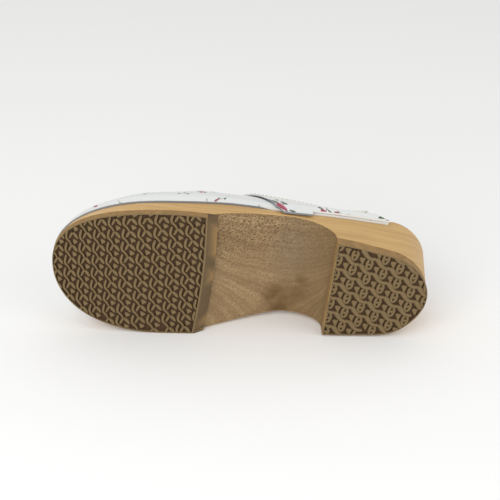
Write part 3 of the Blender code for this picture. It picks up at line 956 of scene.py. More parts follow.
def printed_spray(name, rows, parts):
    """A spray of stems, leaves, buds and roses at its own place, turn and size."""
    sockets = SPRAY_SOCKETS + [("Turn", "Float"), ("Size", "Float")]
    tree, given, out = group(name, sockets, [("Over", "Color")])
    away = vector(tree, "SUBTRACT", given["Place"], given["Centre"])
    turned = {"Vector": away, "Angle": calc(tree, "MULTIPLY", given["Turn"], -1.0)}
    back = node(tree, "ShaderNodeVectorRotate", turned, rotation_type="Z_AXIS")
    shrunk = {"Vector": back.outputs[0], "Scale": calc(tree, "DIVIDE", 1.0, given["Size"])}
    place = node(tree, "ShaderNodeVectorMath", shrunk, operation="SCALE").outputs[0]
    colour = given["Under"]
    for part, x, y, turn, length, width in rows:
        ahead = Vector((math.cos(math.radians(turn)), math.sin(math.radians(turn)), 0.0))
        aside = Vector((-ahead.y, ahead.x, 0.0))
        inputs = {"Along": ahead / length, "Across": aside / width}
        if part == "stem":
            inputs.update(Across=aside, Bow=width)
        inputs.update(Under=colour, Place=place, Centre=(x, y, 0.0))
        colour = use(tree, parts[part], **inputs)["Over"]
    put(tree, out["Over"], colour)
    return tree


def flower_print(colours):
    """The printed repeat, with every other column dropped by half, over a colour."""
    parts = {name: printed_part(name, colours) for name in PART_SHAPES}
    sprays = {kind: printed_spray(kind, rows, parts) for kind, rows in SPRAYS.items()}
    sockets = [("Under", "Color"), ("Place", "Vector")]
    tree, given, out = group("flower_print", sockets, [("Over", "Color")])
    across = vector(tree, "DOT_PRODUCT", given["Place"], (1 / PRINT_REPEAT, 0.0, 0.0))
    fall = calc(tree, "MULTIPLY", calc(tree, "FLOOR", across), PRINT_REPEAT / 2)
    drop = node(tree, "ShaderNodeCombineXYZ", {"Y": fall})
    dropped = vector(tree, "ADD", given["Place"], drop.outputs[0])
    cell = vector(tree, "WRAP", dropped, (PRINT_REPEAT, PRINT_REPEAT, 1.0), (0.0, 0.0, -1.0))
    colour = given["Under"]
    for kind, x, y, turn, size in PRINT_CHART:
        inputs = {"Under": colour, "Place": cell, "Centre": (x, y, 0.0)}
        colour = use(tree, sprays[kind], Turn=math.radians(turn), Size=size, **inputs)["Over"]
    put(tree, out["Over"], colour)
    return tree


# Materials


# Zones of the wood in metres along and across the sole
# Towards the heel's breast the underside gets painted shade and clearer rings
BREAST_ZONE = (0.104, 0.074)
ROUGH_ZONE = (-0.004, 0.026)
SAP_ZONE = (0.16, 0.235)
DULL_PATCH = (0.087, 0.008, 0.0)
DULL_SHAPE = (1.0, 0.6, 0.0)
DULL_REACH = (0.024, 0.004)
# Stains on the underside of the waist: place in metres, reach and strength
STAINS = (
    (0.0800, -0.0110, 0.008, 1.0),
    (0.0810, -0.0215, 0.012, 1.0),
    (0.0980, -0.0220, 0.013, 0.85),
    (0.0920, -0.0345, 0.014, 0.95),
    (0.0890, -0.0290, 0.027, 0.6),
)
AHEAD = (1.0, 0.0, 0.0)
ASIDE = (0.0, 1.0, 0.0)
FLAT = (1.0, 1.0, 0.0)
# How far the roughness of plain leather changes to either side
HIDE_SPREAD = 0.07


def waist_wood(tree, place, figure, colours):
    """Sanded underside: bands, rings, worn clouds, flecks, fibres, stains, and painted shade
    darkening it towards the heel's breast.
    """
    deep = colours.wood_bare_deep
    breast = span(tree, vector(tree, "DOT_PRODUCT", place, AHEAD), *BREAST_ZONE)
    clear = calc(tree, "MULTIPLY_ADD", breast, 0.4, 0.26)
    lateral = span(tree, vector(tree, "DOT_PRODUCT", place, ASIDE), *ROUGH_ZONE)
    rough = calc(tree, "MULTIPLY_ADD", lateral, 0.7, 0.32)
    patch = vector(tree, "MULTIPLY", place, DULL_SHAPE)
    dull = span(tree, vector(tree, "DISTANCE", patch, DULL_PATCH), *DULL_REACH)
    flat = vector(tree, "MULTIPLY", place, FLAT)
    stain = 0.0
    for x, y, radius, strength in STAINS:
        near = span(tree, vector(tree, "DISTANCE", flat, (x, y, 0.0)), radius, 0.0)
        stain = calc(tree, "MAXIMUM", stain, calc(tree, "MULTIPLY", near, strength))
    cloudy = span(tree, figure["Clouds"], 0.3, 0.65, 0.55, 1.0)
    return layered(
        tree,
        colours.wood_bare,
        (span(tree, figure["Bands"], 0.3, 0.7), 0.8, deep),
        (figure["Rings"], clear, deep),
        (span(tree, figure["Clouds"], 0.42, 0.68), 0.3, deep),
        (span(tree, figure["Flecks"], 0.45, 0.62), rough, colours.wood_fibre),
        (span(tree, figure["Fibres"], 0.4, 0.64), 0.5, deep),
        (dull, 0.4, colours.wood_dull),
        (stain, cloudy, colours.wood_stain),
        # Painted shade: the underside darkened towards the heel's breast
        (breast, 0.5, colours.painted_breast_shade),
    )


def wood_material(colours):
    """Waxed honey-coloured side, bare sanded underside and pale footbed."""
    made, tree, shader = material("alder_wood")
    place = own_value(tree, "own_place", as_vector=True)
    figure = use(tree, wood_figure(), Place=place)
    bare = own_value(tree, "bare")
    bed = own_value(tree, "bed")
    bands = span(tree, figure["Bands"], 0.25, 0.8)
    fibres = span(tree, figure["Fibres"], 0.5, 0.75)
    sap = span(tree, vector(tree, "DOT_PRODUCT", place, AHEAD), *SAP_ZONE)
    side = layered(
        tree,
        colours.wood_side,
        (sap, 0.75, colours.wood_sap),
        (bands, 0.75, colours.wood_side_deep),
        (figure["Rings"], 0.24, colours.wood_side_deep),
        (fibres, 0.4, colours.wood_side_deep),
    )
    pale = layered(
        tree,
        colours.wood_bed,
        (bands, 0.45, colours.wood_bed_deep),
        (figure["Rings"], 0.096, colours.wood_bed_deep),
        (fibres, 0.4, colours.wood_bed_deep),
    )
    under = waist_wood(tree, place, figure, colours)
    colour = blend(tree, bare, blend(tree, bed, side, pale), under)
    rough = calc(tree, "MULTIPLY_ADD", bare, 0.36, 0.42)
    rough = calc(tree, "MULTIPLY_ADD", bed, 0.14, rough)
    rough = calc(tree, "MULTIPLY_ADD", figure["Fibres"], 0.12, rough)
    lift = calc(tree, "MULTIPLY_ADD", bare, 0.5, 0.25)
    height = calc(tree, "MULTIPLY", figure["Fibres"], lift)
    torn = calc(tree, "MULTIPLY", span(tree, figure["Flecks"], 0.5, 0.68), bare)
    height = calc(tree, "MULTIPLY_ADD", torn, -1.2, height)
    finish = {"Base Color": colour, "Roughness": rough, "Specular IOR Level": 0.3}
    dress(tree, shader, finish, height, strength=0.6, distance=0.00025)
    return made


def rubber_material(colours):
    """Tan rubber, darkened down in the grooves and on the lugs' flanks by painted shade and dirt.
    """
    made, tree, shader = material("tan_rubber")
    place = own_value(tree, "own_place", as_vector=True)
    mottle = mottled(tree, place, 260.0)
    top = blend(tree, mottle, colours.rubber_top, colours.rubber_worn)
    # Painted shade and dirt: darker with depth, on the lugs' flanks and the groove floor
    groove = span(tree, own_value(tree, "depth"), 0.05, 0.95)
    colour = blend(tree, groove, top, colours.groove_shade_and_dirt)
    edge = blend(tree, mottle, colours.rubber_side, colours.rubber_top)
    colour = blend(tree, own_value(tree, "band"), colour, edge)
    colour = blend(tree, own_value(tree, "bevel"), colour, colours.rubber_bevel)
    rough = span(tree, mottle, 0.2, 0.8, 0.6, 0.8)
    finish = {"Base Color": colour, "Roughness": rough, "Specular IOR Level": 0.25}
    dress(tree, shader, finish, noise(tree, place, 1500.0), strength=0.25, distance=0.0002)
    return made


def leather_material(name, shift, colours):
    """White glossy leather with the flower print laid over it."""
    made, tree, shader = material(name)
    place = own_value(tree, "own_place", as_vector=True)
    flat = vector(tree, "ADD", own_value(tree, "flat_place", as_vector=True), (*shift, 0.0))
    ground = blend(tree, noise(tree, place, 30.0), colours.leather, colours.leather_shade)
    flowers = made_once(bpy.data.node_groups, "flower_print", flower_print, colours)
    colour = use(tree, flowers, Under=ground, Place=flat)["Over"]
    finish = {"Base Color": colour, "Roughness": 0.3, "Coat Weight": 0.25, "Coat Roughness": 0.15}
    grain = use(tree, made_once(bpy.data.node_groups, "hide_grain", hide_grain), Place=place)
    dress(tree, shader, finish, grain["Height"], strength=0.22, distance=0.00012)
    return made


def edge_material(colours):
    """Raw edge of the leather: white near its finish, grey-blue further in where it shows."""
    made, tree, shader = material("cut_edge")
    place = own_value(tree, "own_place", as_vector=True)
    mottle = mottled(tree, place, 500.0)
    raw = blend(tree, mottle, colours.cut_edge, colours.cut_edge_shade)
    shown = calc(tree, "ADD", own_value(tree, "skin_depth"), own_value(tree, "edge_tone"))
    colour = blend(tree, span(tree, shown, 1.3, 1.5), colours.leather_shade, raw)
    finish = {"Base Color": colour, "Roughness": 0.7}
    dress(tree, shader, finish, mottle, strength=0.3, distance=0.0002)
    return made


def plain_hide(name, colour, shade, rough, strength):
    """Leather of one colour with a soft change of shade and its grain."""
    made, tree, shader = material(name)
    place = own_value(tree, "own_place", as_vector=True)
    mottle = mottled(tree, place, 120.0)
    finish = {
        "Base Color": blend(tree, mottle, colour, shade),
        "Roughness": span(tree, mottle, 0.2, 0.8, rough - HIDE_SPREAD, rough + HIDE_SPREAD),
    }
    grain = use(tree, made_once(bpy.data.node_groups, "hide_grain", hide_grain), Place=place)
    dress(tree, shader, finish, grain["Height"], strength=strength, distance=0.00015)
    return made


def thread_material(colours):
    """Waxed thread with a faint twist."""
    made, tree, shader = material("seam_thread")
    coords = node(tree, "ShaderNodeTexCoord").outputs["Object"]
    twist = noise(tree, coords, 2200.0, detail=2.0)
    colour = blend(tree, twist, colours.thread, colours.thread_shade)
    finish = {"Base Color": colour, "Roughness": 0.6}
    dress(tree, shader, finish, twist, strength=0.4, distance=0.0001)
    return made


# Geometry node trees


def repeat_tree(name, inputs):
    """A geometry node tree with named inputs; returns it, its ends and the inputs' identifiers."""
    tree = bpy.data.node_groups.new(name, "GeometryNodeTree")
    keys = {}
    for label, kind in [("Geometry", "Geometry")] + inputs:
        socket = tree.interface.new_socket(label, in_out="INPUT", socket_type="NodeSocket" + kind)
        keys[label] = socket.identifier
    tree.interface.new_socket("Geometry", in_out="OUTPUT", socket_type="NodeSocketGeometry")
    given = tree.nodes.new("NodeGroupInput").outputs
    return tree, given, tree.nodes.new("NodeGroupOutput").inputs["Geometry"], keys


def lug_tree(rubber):
    """Sets a cell of lugs on each point, squeezes and lifts them at the toe and makes them real."""
    sizes = ("Spring start", "Spring reach", "Spring lift", "Squeeze start", "Squeeze")
    inputs = [("Cell", "Object")] + [(label, "Float") for label in sizes]
    tree, given, end, keys = repeat_tree("tread_lugs", inputs)
    cell = node(tree, "GeometryNodeObjectInfo", {"Object": given["Cell"]})
    places = {"Points": given["Geometry"], "Instance": cell.outputs["Geometry"]}
    spread = node(tree, "GeometryNodeInstanceOnPoints", places)
    real = node(tree, "GeometryNodeRealizeInstances", {"Geometry": spread.outputs["Instances"]})
    position = tree.nodes.new("GeometryNodeInputPosition").outputs[0]
    x = node(tree, "ShaderNodeSeparateXYZ", {"Vector": position}).outputs["X"]
    past = calc(tree, "MAXIMUM", calc(tree, "SUBTRACT", x, given["Squeeze start"]), 0.0)
    back = calc(tree, "MULTIPLY", past, given["Squeeze"])
    ahead = calc(tree, "SUBTRACT", calc(tree, "SUBTRACT", x, back), given["Spring start"])
    share = calc(tree, "MAXIMUM", calc(tree, "DIVIDE", ahead, given["Spring reach"]), 0.0)
    rise = calc(tree, "MULTIPLY", calc(tree, "MULTIPLY", share, share), given["Spring lift"])
    lift = node(tree, "ShaderNodeCombineXYZ", {"X": calc(tree, "MULTIPLY", back, -1.0), "Z": rise})
    moved = {"Geometry": real.outputs["Geometry"], "Offset": lift.outputs[0]}
    sprung = node(tree, "GeometryNodeSetPosition", moved)
    finish = {"Geometry": sprung.outputs["Geometry"], "Material": rubber}
    put(tree, end, node(tree, "GeometryNodeSetMaterial", finish).outputs["Geometry"])
    return tree, keys


def stitch_tree(thread):
    """Lays stitches of one pitch along a line."""
    sizes = ("Pitch", "Stitch length", "Stitch width")
    tree, given, end, keys = repeat_tree("seam_stitches", [(label, "Float") for label in sizes])
    line = node(tree, "GeometryNodeMeshToCurve", {"Mesh": given["Geometry"]})
    steps = {"Curve": line.outputs["Curve"], "Length": given["Pitch"]}
    places = node(tree, "GeometryNodeResampleCurve", steps, mode="LENGTH")
    tangent = tree.nodes.new("GeometryNodeInputTangent").outputs["Tangent"]
    turn = node(tree, "FunctionNodeAlignRotationToVector", {"Vector": tangent}, axis="Z")
    bead = node(tree, "GeometryNodeMeshUVSphere", {"Segments": 8, "Rings": 6, "Radius": 0.5})
    width, length = given["Stitch width"], given["Stitch length"]
    size = node(tree, "ShaderNodeCombineXYZ", {"X": width, "Y": width, "Z": length})
    stitches = {
        "Points": places.outputs["Curve"],
        "Instance": bead.outputs["Mesh"],
        "Rotation": turn.outputs["Rotation"],
        "Scale": size.outputs[0],
    }
    spread = node(tree, "GeometryNodeInstanceOnPoints", stitches)
    real = node(tree, "GeometryNodeRealizeInstances", {"Geometry": spread.outputs["Instances"]})
    smooth = node(tree, "GeometryNodeSetShadeSmooth", {"Geometry": real.outputs["Geometry"]})
    finish = {"Geometry": smooth.outputs["Geometry"], "Material": thread}
    put(tree, end, node(tree, "GeometryNodeSetMaterial", finish).outputs["Geometry"])
    return tree, keys


def grown(points_mesh, name, made_tree, values):
    """Runs a geometry node tree on a mesh and returns its result as a plain mesh."""
    tree, keys = made_tree
    carrier = linked(name, points_mesh)
    modifier = carrier.modifiers.new(name, "NODES")
    modifier.node_group = tree
    for label, value in values.items():
        modifier[keys[label]] = value
    bpy.context.view_layer.update()
    return to_plain_mesh(carrier)


# Pieces


def section(*points):
    """Stacks the points of a half-section, each given for all stations, into one grid."""
    return np.stack([np.stack(np.broadcast_arrays(*p), axis=-1) for p in points], axis=1)


def sole_half(angles, side):
    """Half-sections of the carved sole from the middle of the underside round to the footbed's,
    with the marks of the bare underside and of the footbed."""
    x = place_at(angles)
    low = underside(x) + GAP
    step = read(HEIGHTS, "x", "edge", x) - LEDGE_GAP
    rim = read(HEIGHTS, "x", "rim", x)
    dish = read(HEIGHTS, "x", "dish", x)
    depth = REBATE * ease(x, *REBATE_START)
    points, bare, bed = [], [], []

    def mark(point, bare_share=0.0, bed_share=0.0):
        """Adds a point of the half-section with its marks."""
        points.append(point)
        bare.append(bare_share)
        bed.append(bed_share)

    def wall(inset, height):
        """Points inside the flared wall at a height."""
        flat = outline(angles, side, flare(x, height) - inset)
        return flat[:, 0], flat[:, 1], height

    corner = wall(EDGE_EASE, low)
    centre = middle(angles, flare(x, low) - EDGE_EASE)
    for share in UNDERSIDE_SHARES:
        ahead = centre + share * (corner[0] - centre)
        mark((ahead, share * corner[1], low), bare_share=1.0)
    for turn in EASE_TURNS:
        back = EDGE_EASE * (1 - math.sin(math.radians(turn)))
        rise = EDGE_EASE * (1 - math.cos(math.radians(turn)))
        mark(wall(back, low + rise), bare_share=0.5 if turn == EASE_TURNS[0] else 0.0)
    bottom = low + EDGE_EASE
    top = step - LEDGE_ROUND
    for share in WALL_SHARES:
        mark(wall(0.0, bottom + (top - bottom) * share))
    mark(wall(np.minimum(depth, LEDGE_BITE), step - LEDGE_BITE))
    mark(wall(np.minimum(depth, LEDGE_ROUND), step))
    mark(wall(depth + LEDGE_NOOK, step))
    mark(wall(depth, (step + rim - RIM_ROUND) / 2))
    for turn in RIM_TURNS:
        back = RIM_ROUND * (1 - math.cos(math.radians(turn)))
        drop = RIM_ROUND * (1 - math.sin(math.radians(turn)))
        mark(wall(depth + back, rim - drop), bed_share=turn / 90)
    inset = flare(x, rim) - depth - RIM_ROUND
    inner = outline(angles, side, inset)
    centre = middle(angles, inset)
    for share in BED_SHARES:
        ahead = centre + share * (inner[:, 0] - centre)
        mark((ahead, share * inner[:, 1], rim - dish * (1 - share**2)), bed_share=1.0)
    return section(*points), np.array(bare)[None], np.array(bed)[None]


def carved_sole(colours):
    """The one-piece wooden sole."""
    breast_turn = np.linspace(0, math.pi / 2, BREAST_SECTIONS + 1)
    breast_x = HEEL_BREAST + (ARCH_TOP[0] - HEEL_BREAST) * (1 - np.cos(breast_turn))
    even = np.linspace(0, math.pi, SOLE_SECTIONS + 1)
    x = place_at(even)
    clear = (x < breast_x[0] - SECTION_GAP) | (x > breast_x[-1] + SECTION_GAP)
    angles = np.sort(np.concatenate([even[clear], angle_at(breast_x)]))
    skin = Skin()
    for side in SIDES:
        points, bare, bed = sole_half(angles, side)
        skin.add(points, bare=bare, bed=bed)
    wood = wood_material(colours)
    show("carved_sole", skin.mesh("carved_sole"), [wood], ["sole_wood"])


def tread_body(name, angles, low, groove, high, bow, bevel):
    """The rubber under the lugs: a groove floor inside a narrow rim, its sides and its top."""
    centre = middle(angles, -TREAD_RIM - RIM_SLOPE)
    skin = Skin()
    ends = []
    for side in SIDES:
        insets = (0.0, RIM_EDGE_IN, TREAD_RIM, TREAD_RIM + RIM_SLOPE)
        rim, edge, lip, foot = (outline(angles, side, -inset) for inset in insets)
        flat = []
        for share in FLOOR_SHARES:
            ahead = centre + share * (foot[:, 0] - centre)
            flat.append((ahead - bow * (1 - share**2), share * foot[:, 1]))
        points = [(*p, low + groove) for p in flat]
        points += [(*lip.T, low), (*edge.T, low), (*rim.T, low + RIM_EDGE_UP)]
        plain = len(points)
        points += [(*rim.T, low + RIM_EDGE_UP + BAND_STEP), (*rim.T, high)]
        points += [(*p, high) for p in reversed(flat)]
        grid = section(*points)
        depth = np.zeros(grid.shape[:2])
        # Depth of the groove floor, which sets its painted shade and dirt
        depth[:, : len(flat)] = (groove / GROOVE_SHADE_DEPTH)[:, None]
        band = (np.arange(len(points)) >= plain).astype(float)
        skin.add(grid, depth=depth, band=band[None], bevel=bevel[:, None])
        ends.append(grid[0 if bevel.any() else -1])
    skin.add(np.stack(ends, axis=1), depth=0.0, band=1.0, bevel=0.0)
    return skin.mesh(name)


def lug_cell(strokes, groove):
    """One cell of lugs in metres: each stroke stands up from the groove floor with a soft edge."""
    flank = [(LUG_FOOT[0], groove + LUG_FOOT[1]), LUG_SHOULDER, LUG_TOP]
    profile = flank + [(-share, depth) for share, depth in reversed(flank)]
    points, faces = [], []
    for stroke in strokes:
        back, side, width = np.array(stroke).T
        path = np.stack([-back, side], axis=1)
        half = width[:, None] / 2
        along = np.gradient(path, axis=0)
        along /= np.linalg.norm(along, axis=1, keepdims=True)
        across = np.stack([-along[:, 1], along[:, 0]], axis=1)
        grid = []
        for share, depth in profile:
            grid.append(np.insert(path + across * (half * share), 2, depth, axis=1))
        index = len(points) + np.arange(len(path) * LUG_CORNERS).reshape(-1, LUG_CORNERS)
        points += (np.stack(grid, axis=1).reshape(-1, 3) * MM).tolist()
        ring = np.concatenate([index, index[:, :1]], axis=1).tolist()
        for low, high in zip(ring[:-1], ring[1:]):
            faces += zip(low[:-1], low[1:], high[1:], high[:-1])
        faces += [ring[0][:-1], ring[-1][-2::-1]]
    mesh = bpy.data.meshes.new("lug_cell")
    mesh.from_pydata(points, [], faces)
    with editing(mesh) as builder:
        bmesh.ops.recalc_face_normals(builder, faces=builder.faces)
    return mesh


def lattice(first, along, across, field):
    """Points of a slanted lattice in a field, which is given by its two ends and its half-width."""
    start, end, half = field
    steps = range(-LATTICE_REACH, LATTICE_REACH + 1)
    spots = []
    for i in steps:
        for j in steps:
            x, y = np.array(first) + i * np.array(along) + j * np.array(across)
            if start < x < end and abs(y) < half:
                spots.append((x * MM, y * MM, 0.0))
    return spots


def half_width(x, y):
    """Half-width of the ground outline along the sole, on the side where y lies."""
    angle = angle_at(np.clip(x, 0.0, SOLE_LENGTH))
    lateral, medial = (np.abs(on_outline(angle, side)[..., 1]) for side in SIDES)
    return np.where(y >= 0, lateral, medial)


def tread_lugs(name, strokes, spots, limits, groove, rubber):
    """Lugs over a tread, cut off at its outline and its plain edges."""
    cell = bpy.data.objects.new("lug_cell", lug_cell(strokes, groove))
    carrier = bpy.data.meshes.new(name)
    carrier.from_pydata(spots, [], [])
    values = {
        "Cell": cell,
        "Spring start": TOE_SPRING_START * MM,
        "Spring reach": (SOLE_LENGTH - TOE_SPRING_START) * MM,
        "Spring lift": TOE_SPRING * MM,
        "Squeeze start": TOE_SQUEEZE_START * MM,
        "Squeeze": TOE_SQUEEZE,
    }
    mesh = grown(carrier, name, lug_tree(rubber), values)
    bpy.data.objects.remove(cell)
    points = np.empty(len(mesh.vertices) * 3)
    mesh.vertices.foreach_get("co", points)
    x, y, z = points.reshape(-1, 3).T / MM
    # Depth below the lug tops, which sets the painted shade and dirt of the flanks
    depth = (z - toe_spring(x)) / GROOVE_SHADE_DEPTH
    start, end = limits
    held_x = np.clip(x, start(np.abs(y) / np.maximum(half_width(x, y), NUDGE)), end)
    reach = half_width(held_x, y) - TREAD_RIM
    held_y = np.clip(y, -reach, reach)
    lost = np.hypot(held_x - x, held_y - y) > HELD_BACK
    counts = [LUG_CORNERS * len(stroke) for stroke in strokes]
    in_cell = np.repeat(np.arange(len(counts)), counts)
    lug = (np.arange(len(spots))[:, None] * len(counts) + in_cell).ravel()
    share_lost = np.bincount(lug, lost) / np.bincount(lug)
    gone = np.flatnonzero(share_lost[lug] > MOSTLY_OUT)
    points = np.stack([held_x, held_y, z], axis=1)
    mesh.vertices.foreach_set("co", laid(points).ravel())
    store(mesh, "own_place", points * MM)
    store(mesh, "depth", depth)
    for plain in ("band", "bevel"):
        store(mesh, plain, np.zeros(len(points)))
    with editing(mesh) as builder:
        builder.verts.ensure_lookup_table()
        bmesh.ops.delete(builder, geom=[builder.verts[i] for i in gone], context="VERTS")
        bmesh.ops.dissolve_degenerate(builder, edges=builder.edges, dist=WELD * MM)
        bmesh.ops.recalc_face_normals(builder, faces=builder.faces)
    return mesh


def forefoot_rubber(colours, sizes):
    """The half-sole with its lugs, skived at the waist and sprung at the toe."""
    rubber = made_once(bpy.data.materials, "tan_rubber", rubber_material, colours)
    groove = sizes.groove_depth / MM
    strip = TREAD_END + sizes.plain_edge / MM
    marks = np.array([TREAD_END - TREAD_BEVEL, TREAD_END, TREAD_END + BEVEL_STEP, strip])
    front = np.linspace(angle_at(strip + GROOVE_WALL), math.pi, TREAD_SECTIONS + 1)
    angles = np.concatenate([angle_at(marks), front])
    x = place_at(angles)
    low = toe_spring(x)
    low[0] = FOREFOOT_TREAD - BEVEL_EDGE
    station = np.arange(len(x))
    cut = np.where(station < len(marks), 0.0, groove)
    high = FOREFOOT_TREAD + toe_spring(x)
    bow = TREAD_BOW * (1 - ease(x, TREAD_END, TREAD_END + BOW_FADE))
    bevel = np.where(station < 2, 1.0, 0.0)
    body = tread_body("forefoot_rubber", angles, low, cut, high, bow, bevel)
    show("forefoot_rubber", body, [rubber], ["forefoot_tread"])

    def start(share):
        """Bowed edge of the plain strip, by the share of the half-width."""
        return strip - TREAD_BOW * (1 - share**2)

    spots = lattice(*FOREFOOT_LATTICE, FOREFOOT_FIELD)
    limits = (start, SOLE_LENGTH - LUG_INSET)
    lugs = tread_lugs("forefoot_lugs", FOREFOOT_LUGS, spots, limits, groove, rubber)
    show("forefoot_lugs", lugs, [], smooth_angle=LUG_SMOOTH)


def heel_rubber(colours, sizes):
    """The heel's top piece with its lugs and a plain edge at the breast."""
    rubber = made_once(bpy.data.materials, "tan_rubber", rubber_material, colours)
    groove = sizes.heel_groove / MM
    strip = HEEL_BREAST - sizes.plain_edge / MM
    back = np.linspace(0, angle_at(strip - GROOVE_WALL), HEEL_SECTIONS + 1)
    angles = np.concatenate([back, angle_at(np.array([strip, HEEL_BREAST]))])
    x = place_at(angles)
    cut = np.where(np.arange(len(x)) < len(back), groove, 0.0)
    high = np.full_like(x, HEEL_TREAD)
    body = tread_body("heel_rubber", angles, 0 * x, cut, high, 0 * x, 0 * x)
    show("heel_rubber", body, [rubber], ["heel_tread"])

    def start(share):
        """Back end of the heel's lugs."""
        return np.full_like(share, LUG_INSET)

    spots = lattice(*HEEL_LATTICE, HEEL_FIELD)
    lugs = tread_lugs("heel_lugs", HEEL_LUGS, spots, (start, strip), groove, rubber)
    show("heel_lugs", lugs, [], smooth_angle=LUG_SMOOTH)


def lasted_upper(colours):
    """The printed leather upper, one wall from wing to wing round the toe."""
    band = angle_at(band_places())
    toe = np.linspace(band[-1], math.pi, TOE_RIBS + 1)[1:]
    angles = np.concatenate([back_angles(), band, toe])
    edge_tone = UPPER_EDGE_TONE * ease(place_at(angles), *UPPER_EDGE_START)[:, None]
    skin = Skin()
    for side in SIDES:
        share = rib_shares(topline_share(angles, side))
        station = np.broadcast_to(angles[:, None], share.shape)
        flat = leather_flat(angles, side, share)
        skin.add(on_rib(station, side, share), flat_place=flat, edge_tone=edge_tone)
    leather = leather_material("printed_leather", VAMP_SHIFT, colours)
    lining = plain_hide("lining", colours.lining, colours.lining_shade, rough=0.75, strength=0.3)
    cut = made_once(bpy.data.materials, "cut_edge", edge_material, colours)
    mesh = walled(skin.mesh("lasted_upper"), [leather, lining, cut], LEATHER, offset=-1.0)
    show("lasted_upper", mesh, [], ["upper"])


def lapped_collar(colours):
    """The leather collar lapped over the upper, with a tab at the lateral waist."""
    back_x = place_at(back_angles())
    skin = Skin()
    for side in SIDES:
        low = WING_FRONT_LOW[side]
        corners = (low, low - TAB_CORNER, TAB_BACK, TAB_BACK - TAB_STEP)
        x = np.sort(np.concatenate([back_x, band_places(), corners]))
        ahead = np.clip((WING_FRONT_TOP - x) / (WING_FRONT_TOP - low), 0, 1)
        border = 1 - ahead ** (1 / WING_FRONT_BOW[side])
        angles = angle_at(x)
        share = np.maximum(rib_shares(topline_share(angles, side)), border[:, None])
        share = np.concatenate([share[:, :1], share], axis=1)
        station = np.broadcast_to(angles[:, None], share.shape)
        points = on_rib(station, side, share) + WING_GAP * outward(station, side, share)
        drop = np.where(x < TAB_BACK, WING_DROP, TAB_DROP[side])
        drop = drop * np.clip((low - x) / TAB_CORNER, 0, 1)
        points[:, 0, 2] -= drop
        flat = leather_flat(angles, side, share)
        flat[:, 0, 1] += side * drop
        start = TAB_BACK - COLLAR_EDGE_BACK if side == LATERAL else low - TAB_CORNER
        edge_tone = COLLAR_EDGE_TONE - COLLAR_EDGE_FADE * ease(border, *COLLAR_EDGE_SHARES)
        edge_tone = edge_tone * ease(x, start, start + COLLAR_EDGE_STEP)
        skin.add(points, flat_place=flat, edge_tone=edge_tone[:, None])
    leather = leather_material("wing_leather", WING_SHIFT, colours)
    cut = made_once(bpy.data.materials, "cut_edge", edge_material, colours)
    mesh = walled(skin.mesh("lapped_collar"), [leather, cut, cut], WING_LEATHER, offset=1.0)
    show("lapped_collar", mesh, [], ["collar"])


def rolled_binding(colours, sizes):
    """The strip rolled over the topline and the row of stitches that holds it."""
    points, normals, up = topline()
    rim = read(HEIGHTS, "x", "rim", points[:, 0])
    inner_leg = np.clip(points[:, 2] - rim - BINDING_CLEARANCE, 0, BINDING_INNER_LEG)
    slot_in = -LEATHER - BINDING_SLACK
    slot_out = WING_GAP + WING_LEATHER + BINDING_SLACK
    fold_middle = (slot_in + slot_out) / 2
    fold_reach = (slot_out - slot_in) / 2 + BINDING_SKIN
    outer = slot_out + BINDING_SKIN
    bend, leg = -BINDING_BEND, -BINDING_OUTER_LEG
    profile = [(outer - BINDING_EDGE_IN, leg), (outer, leg + BINDING_EDGE_UP), (outer, bend)]
    for turn in np.linspace(0, math.pi, ROLL_STEPS + 1):
        rise = BINDING_SLACK + BINDING_ROLL * math.sin(turn)
        profile.append((fold_middle + fold_reach * math.cos(turn), rise))
    profile += [(slot_in - BINDING_SKIN, bend), (slot_in, bend), (slot_in, BINDING_SLACK)]
    profile += [(slot_out, BINDING_SLACK), (slot_out, leg)]
    across, above = np.array(profile).T
    inside = (across < fold_middle) & (above < 0)
    above = np.where(inside, -inner_leg[:, None], above)
    grid = points[:, None] + normals[:, None] * across[:, None] + up[:, None] * above[..., None]
    mesh = Skin().add(grid, close=True).mesh("rolled_binding")
    with editing(mesh) as builder:
        bmesh.ops.holes_fill(builder, edges=[e for e in builder.edges if e.is_boundary], sides=0)
        bmesh.ops.recalc_face_normals(builder, faces=builder.faces)
    tones = (colours.binding, colours.binding_shade)
    hide = plain_hide("binding_hide", *tones, rough=0.42, strength=0.2)
    show("rolled_binding", mesh, [hide], ["topline_binding"])
    seam = laid(points + normals * outer - up * (sizes.stitch_drop / MM))
    line = bpy.data.meshes.new("seam_line")
    line.from_pydata(seam.tolist(), [(i, i + 1) for i in range(len(seam) - 1)], [])
    values = {
        "Pitch": sizes.stitch_pitch,
        "Stitch length": sizes.stitch_length,
        "Stitch width": sizes.stitch_width,
    }
    stitches = grown(line, "topline_stitches", stitch_tree(thread_material(colours)), values)
    obj = linked("topline_stitches", stitches)
    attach(obj, "root")


# Stage

# Lamps: the setting that holds its power, its place and its size
LAMPS = (
    ("key", (-0.6, -1.3, 0.8), 1.2),
    ("fill", (1.2, -0.9, 0.7), 1.4),
)
SENSOR_WIDTH = 36.0
VIEW_DEPTH = 50.0
FLOOR_SHADE = 0.985


def floor_material(colour):
    """Plain pale floor."""
    made, tree, shader = material("pale_floor")
    coords = node(tree, "ShaderNodeTexCoord").outputs["Object"]
    mottle = noise(tree, coords, 3.0, detail=2.0)
    shade = tuple(FLOOR_SHADE * c for c in colour)
    finish = {"Base Color": blend(tree, mottle, colour, shade), "Roughness": 0.9}
    finish["Specular IOR Level"] = 0.1
    dress(tree, shader, finish)
    return made


def pale_floor(stage):
    """A wide floor under the clog."""
    mesh = bpy.data.meshes.new("floor")
    size = stage.floor_size / 2
    corners = [(-size, -size, 0), (size, -size, 0), (size, size, 0), (-size, size, 0)]
    mesh.from_pydata(corners, [], [(0, 1, 2, 3)])
    mesh.materials.append(floor_material(stage.floor_colour))
    obj = linked("floor", mesh)


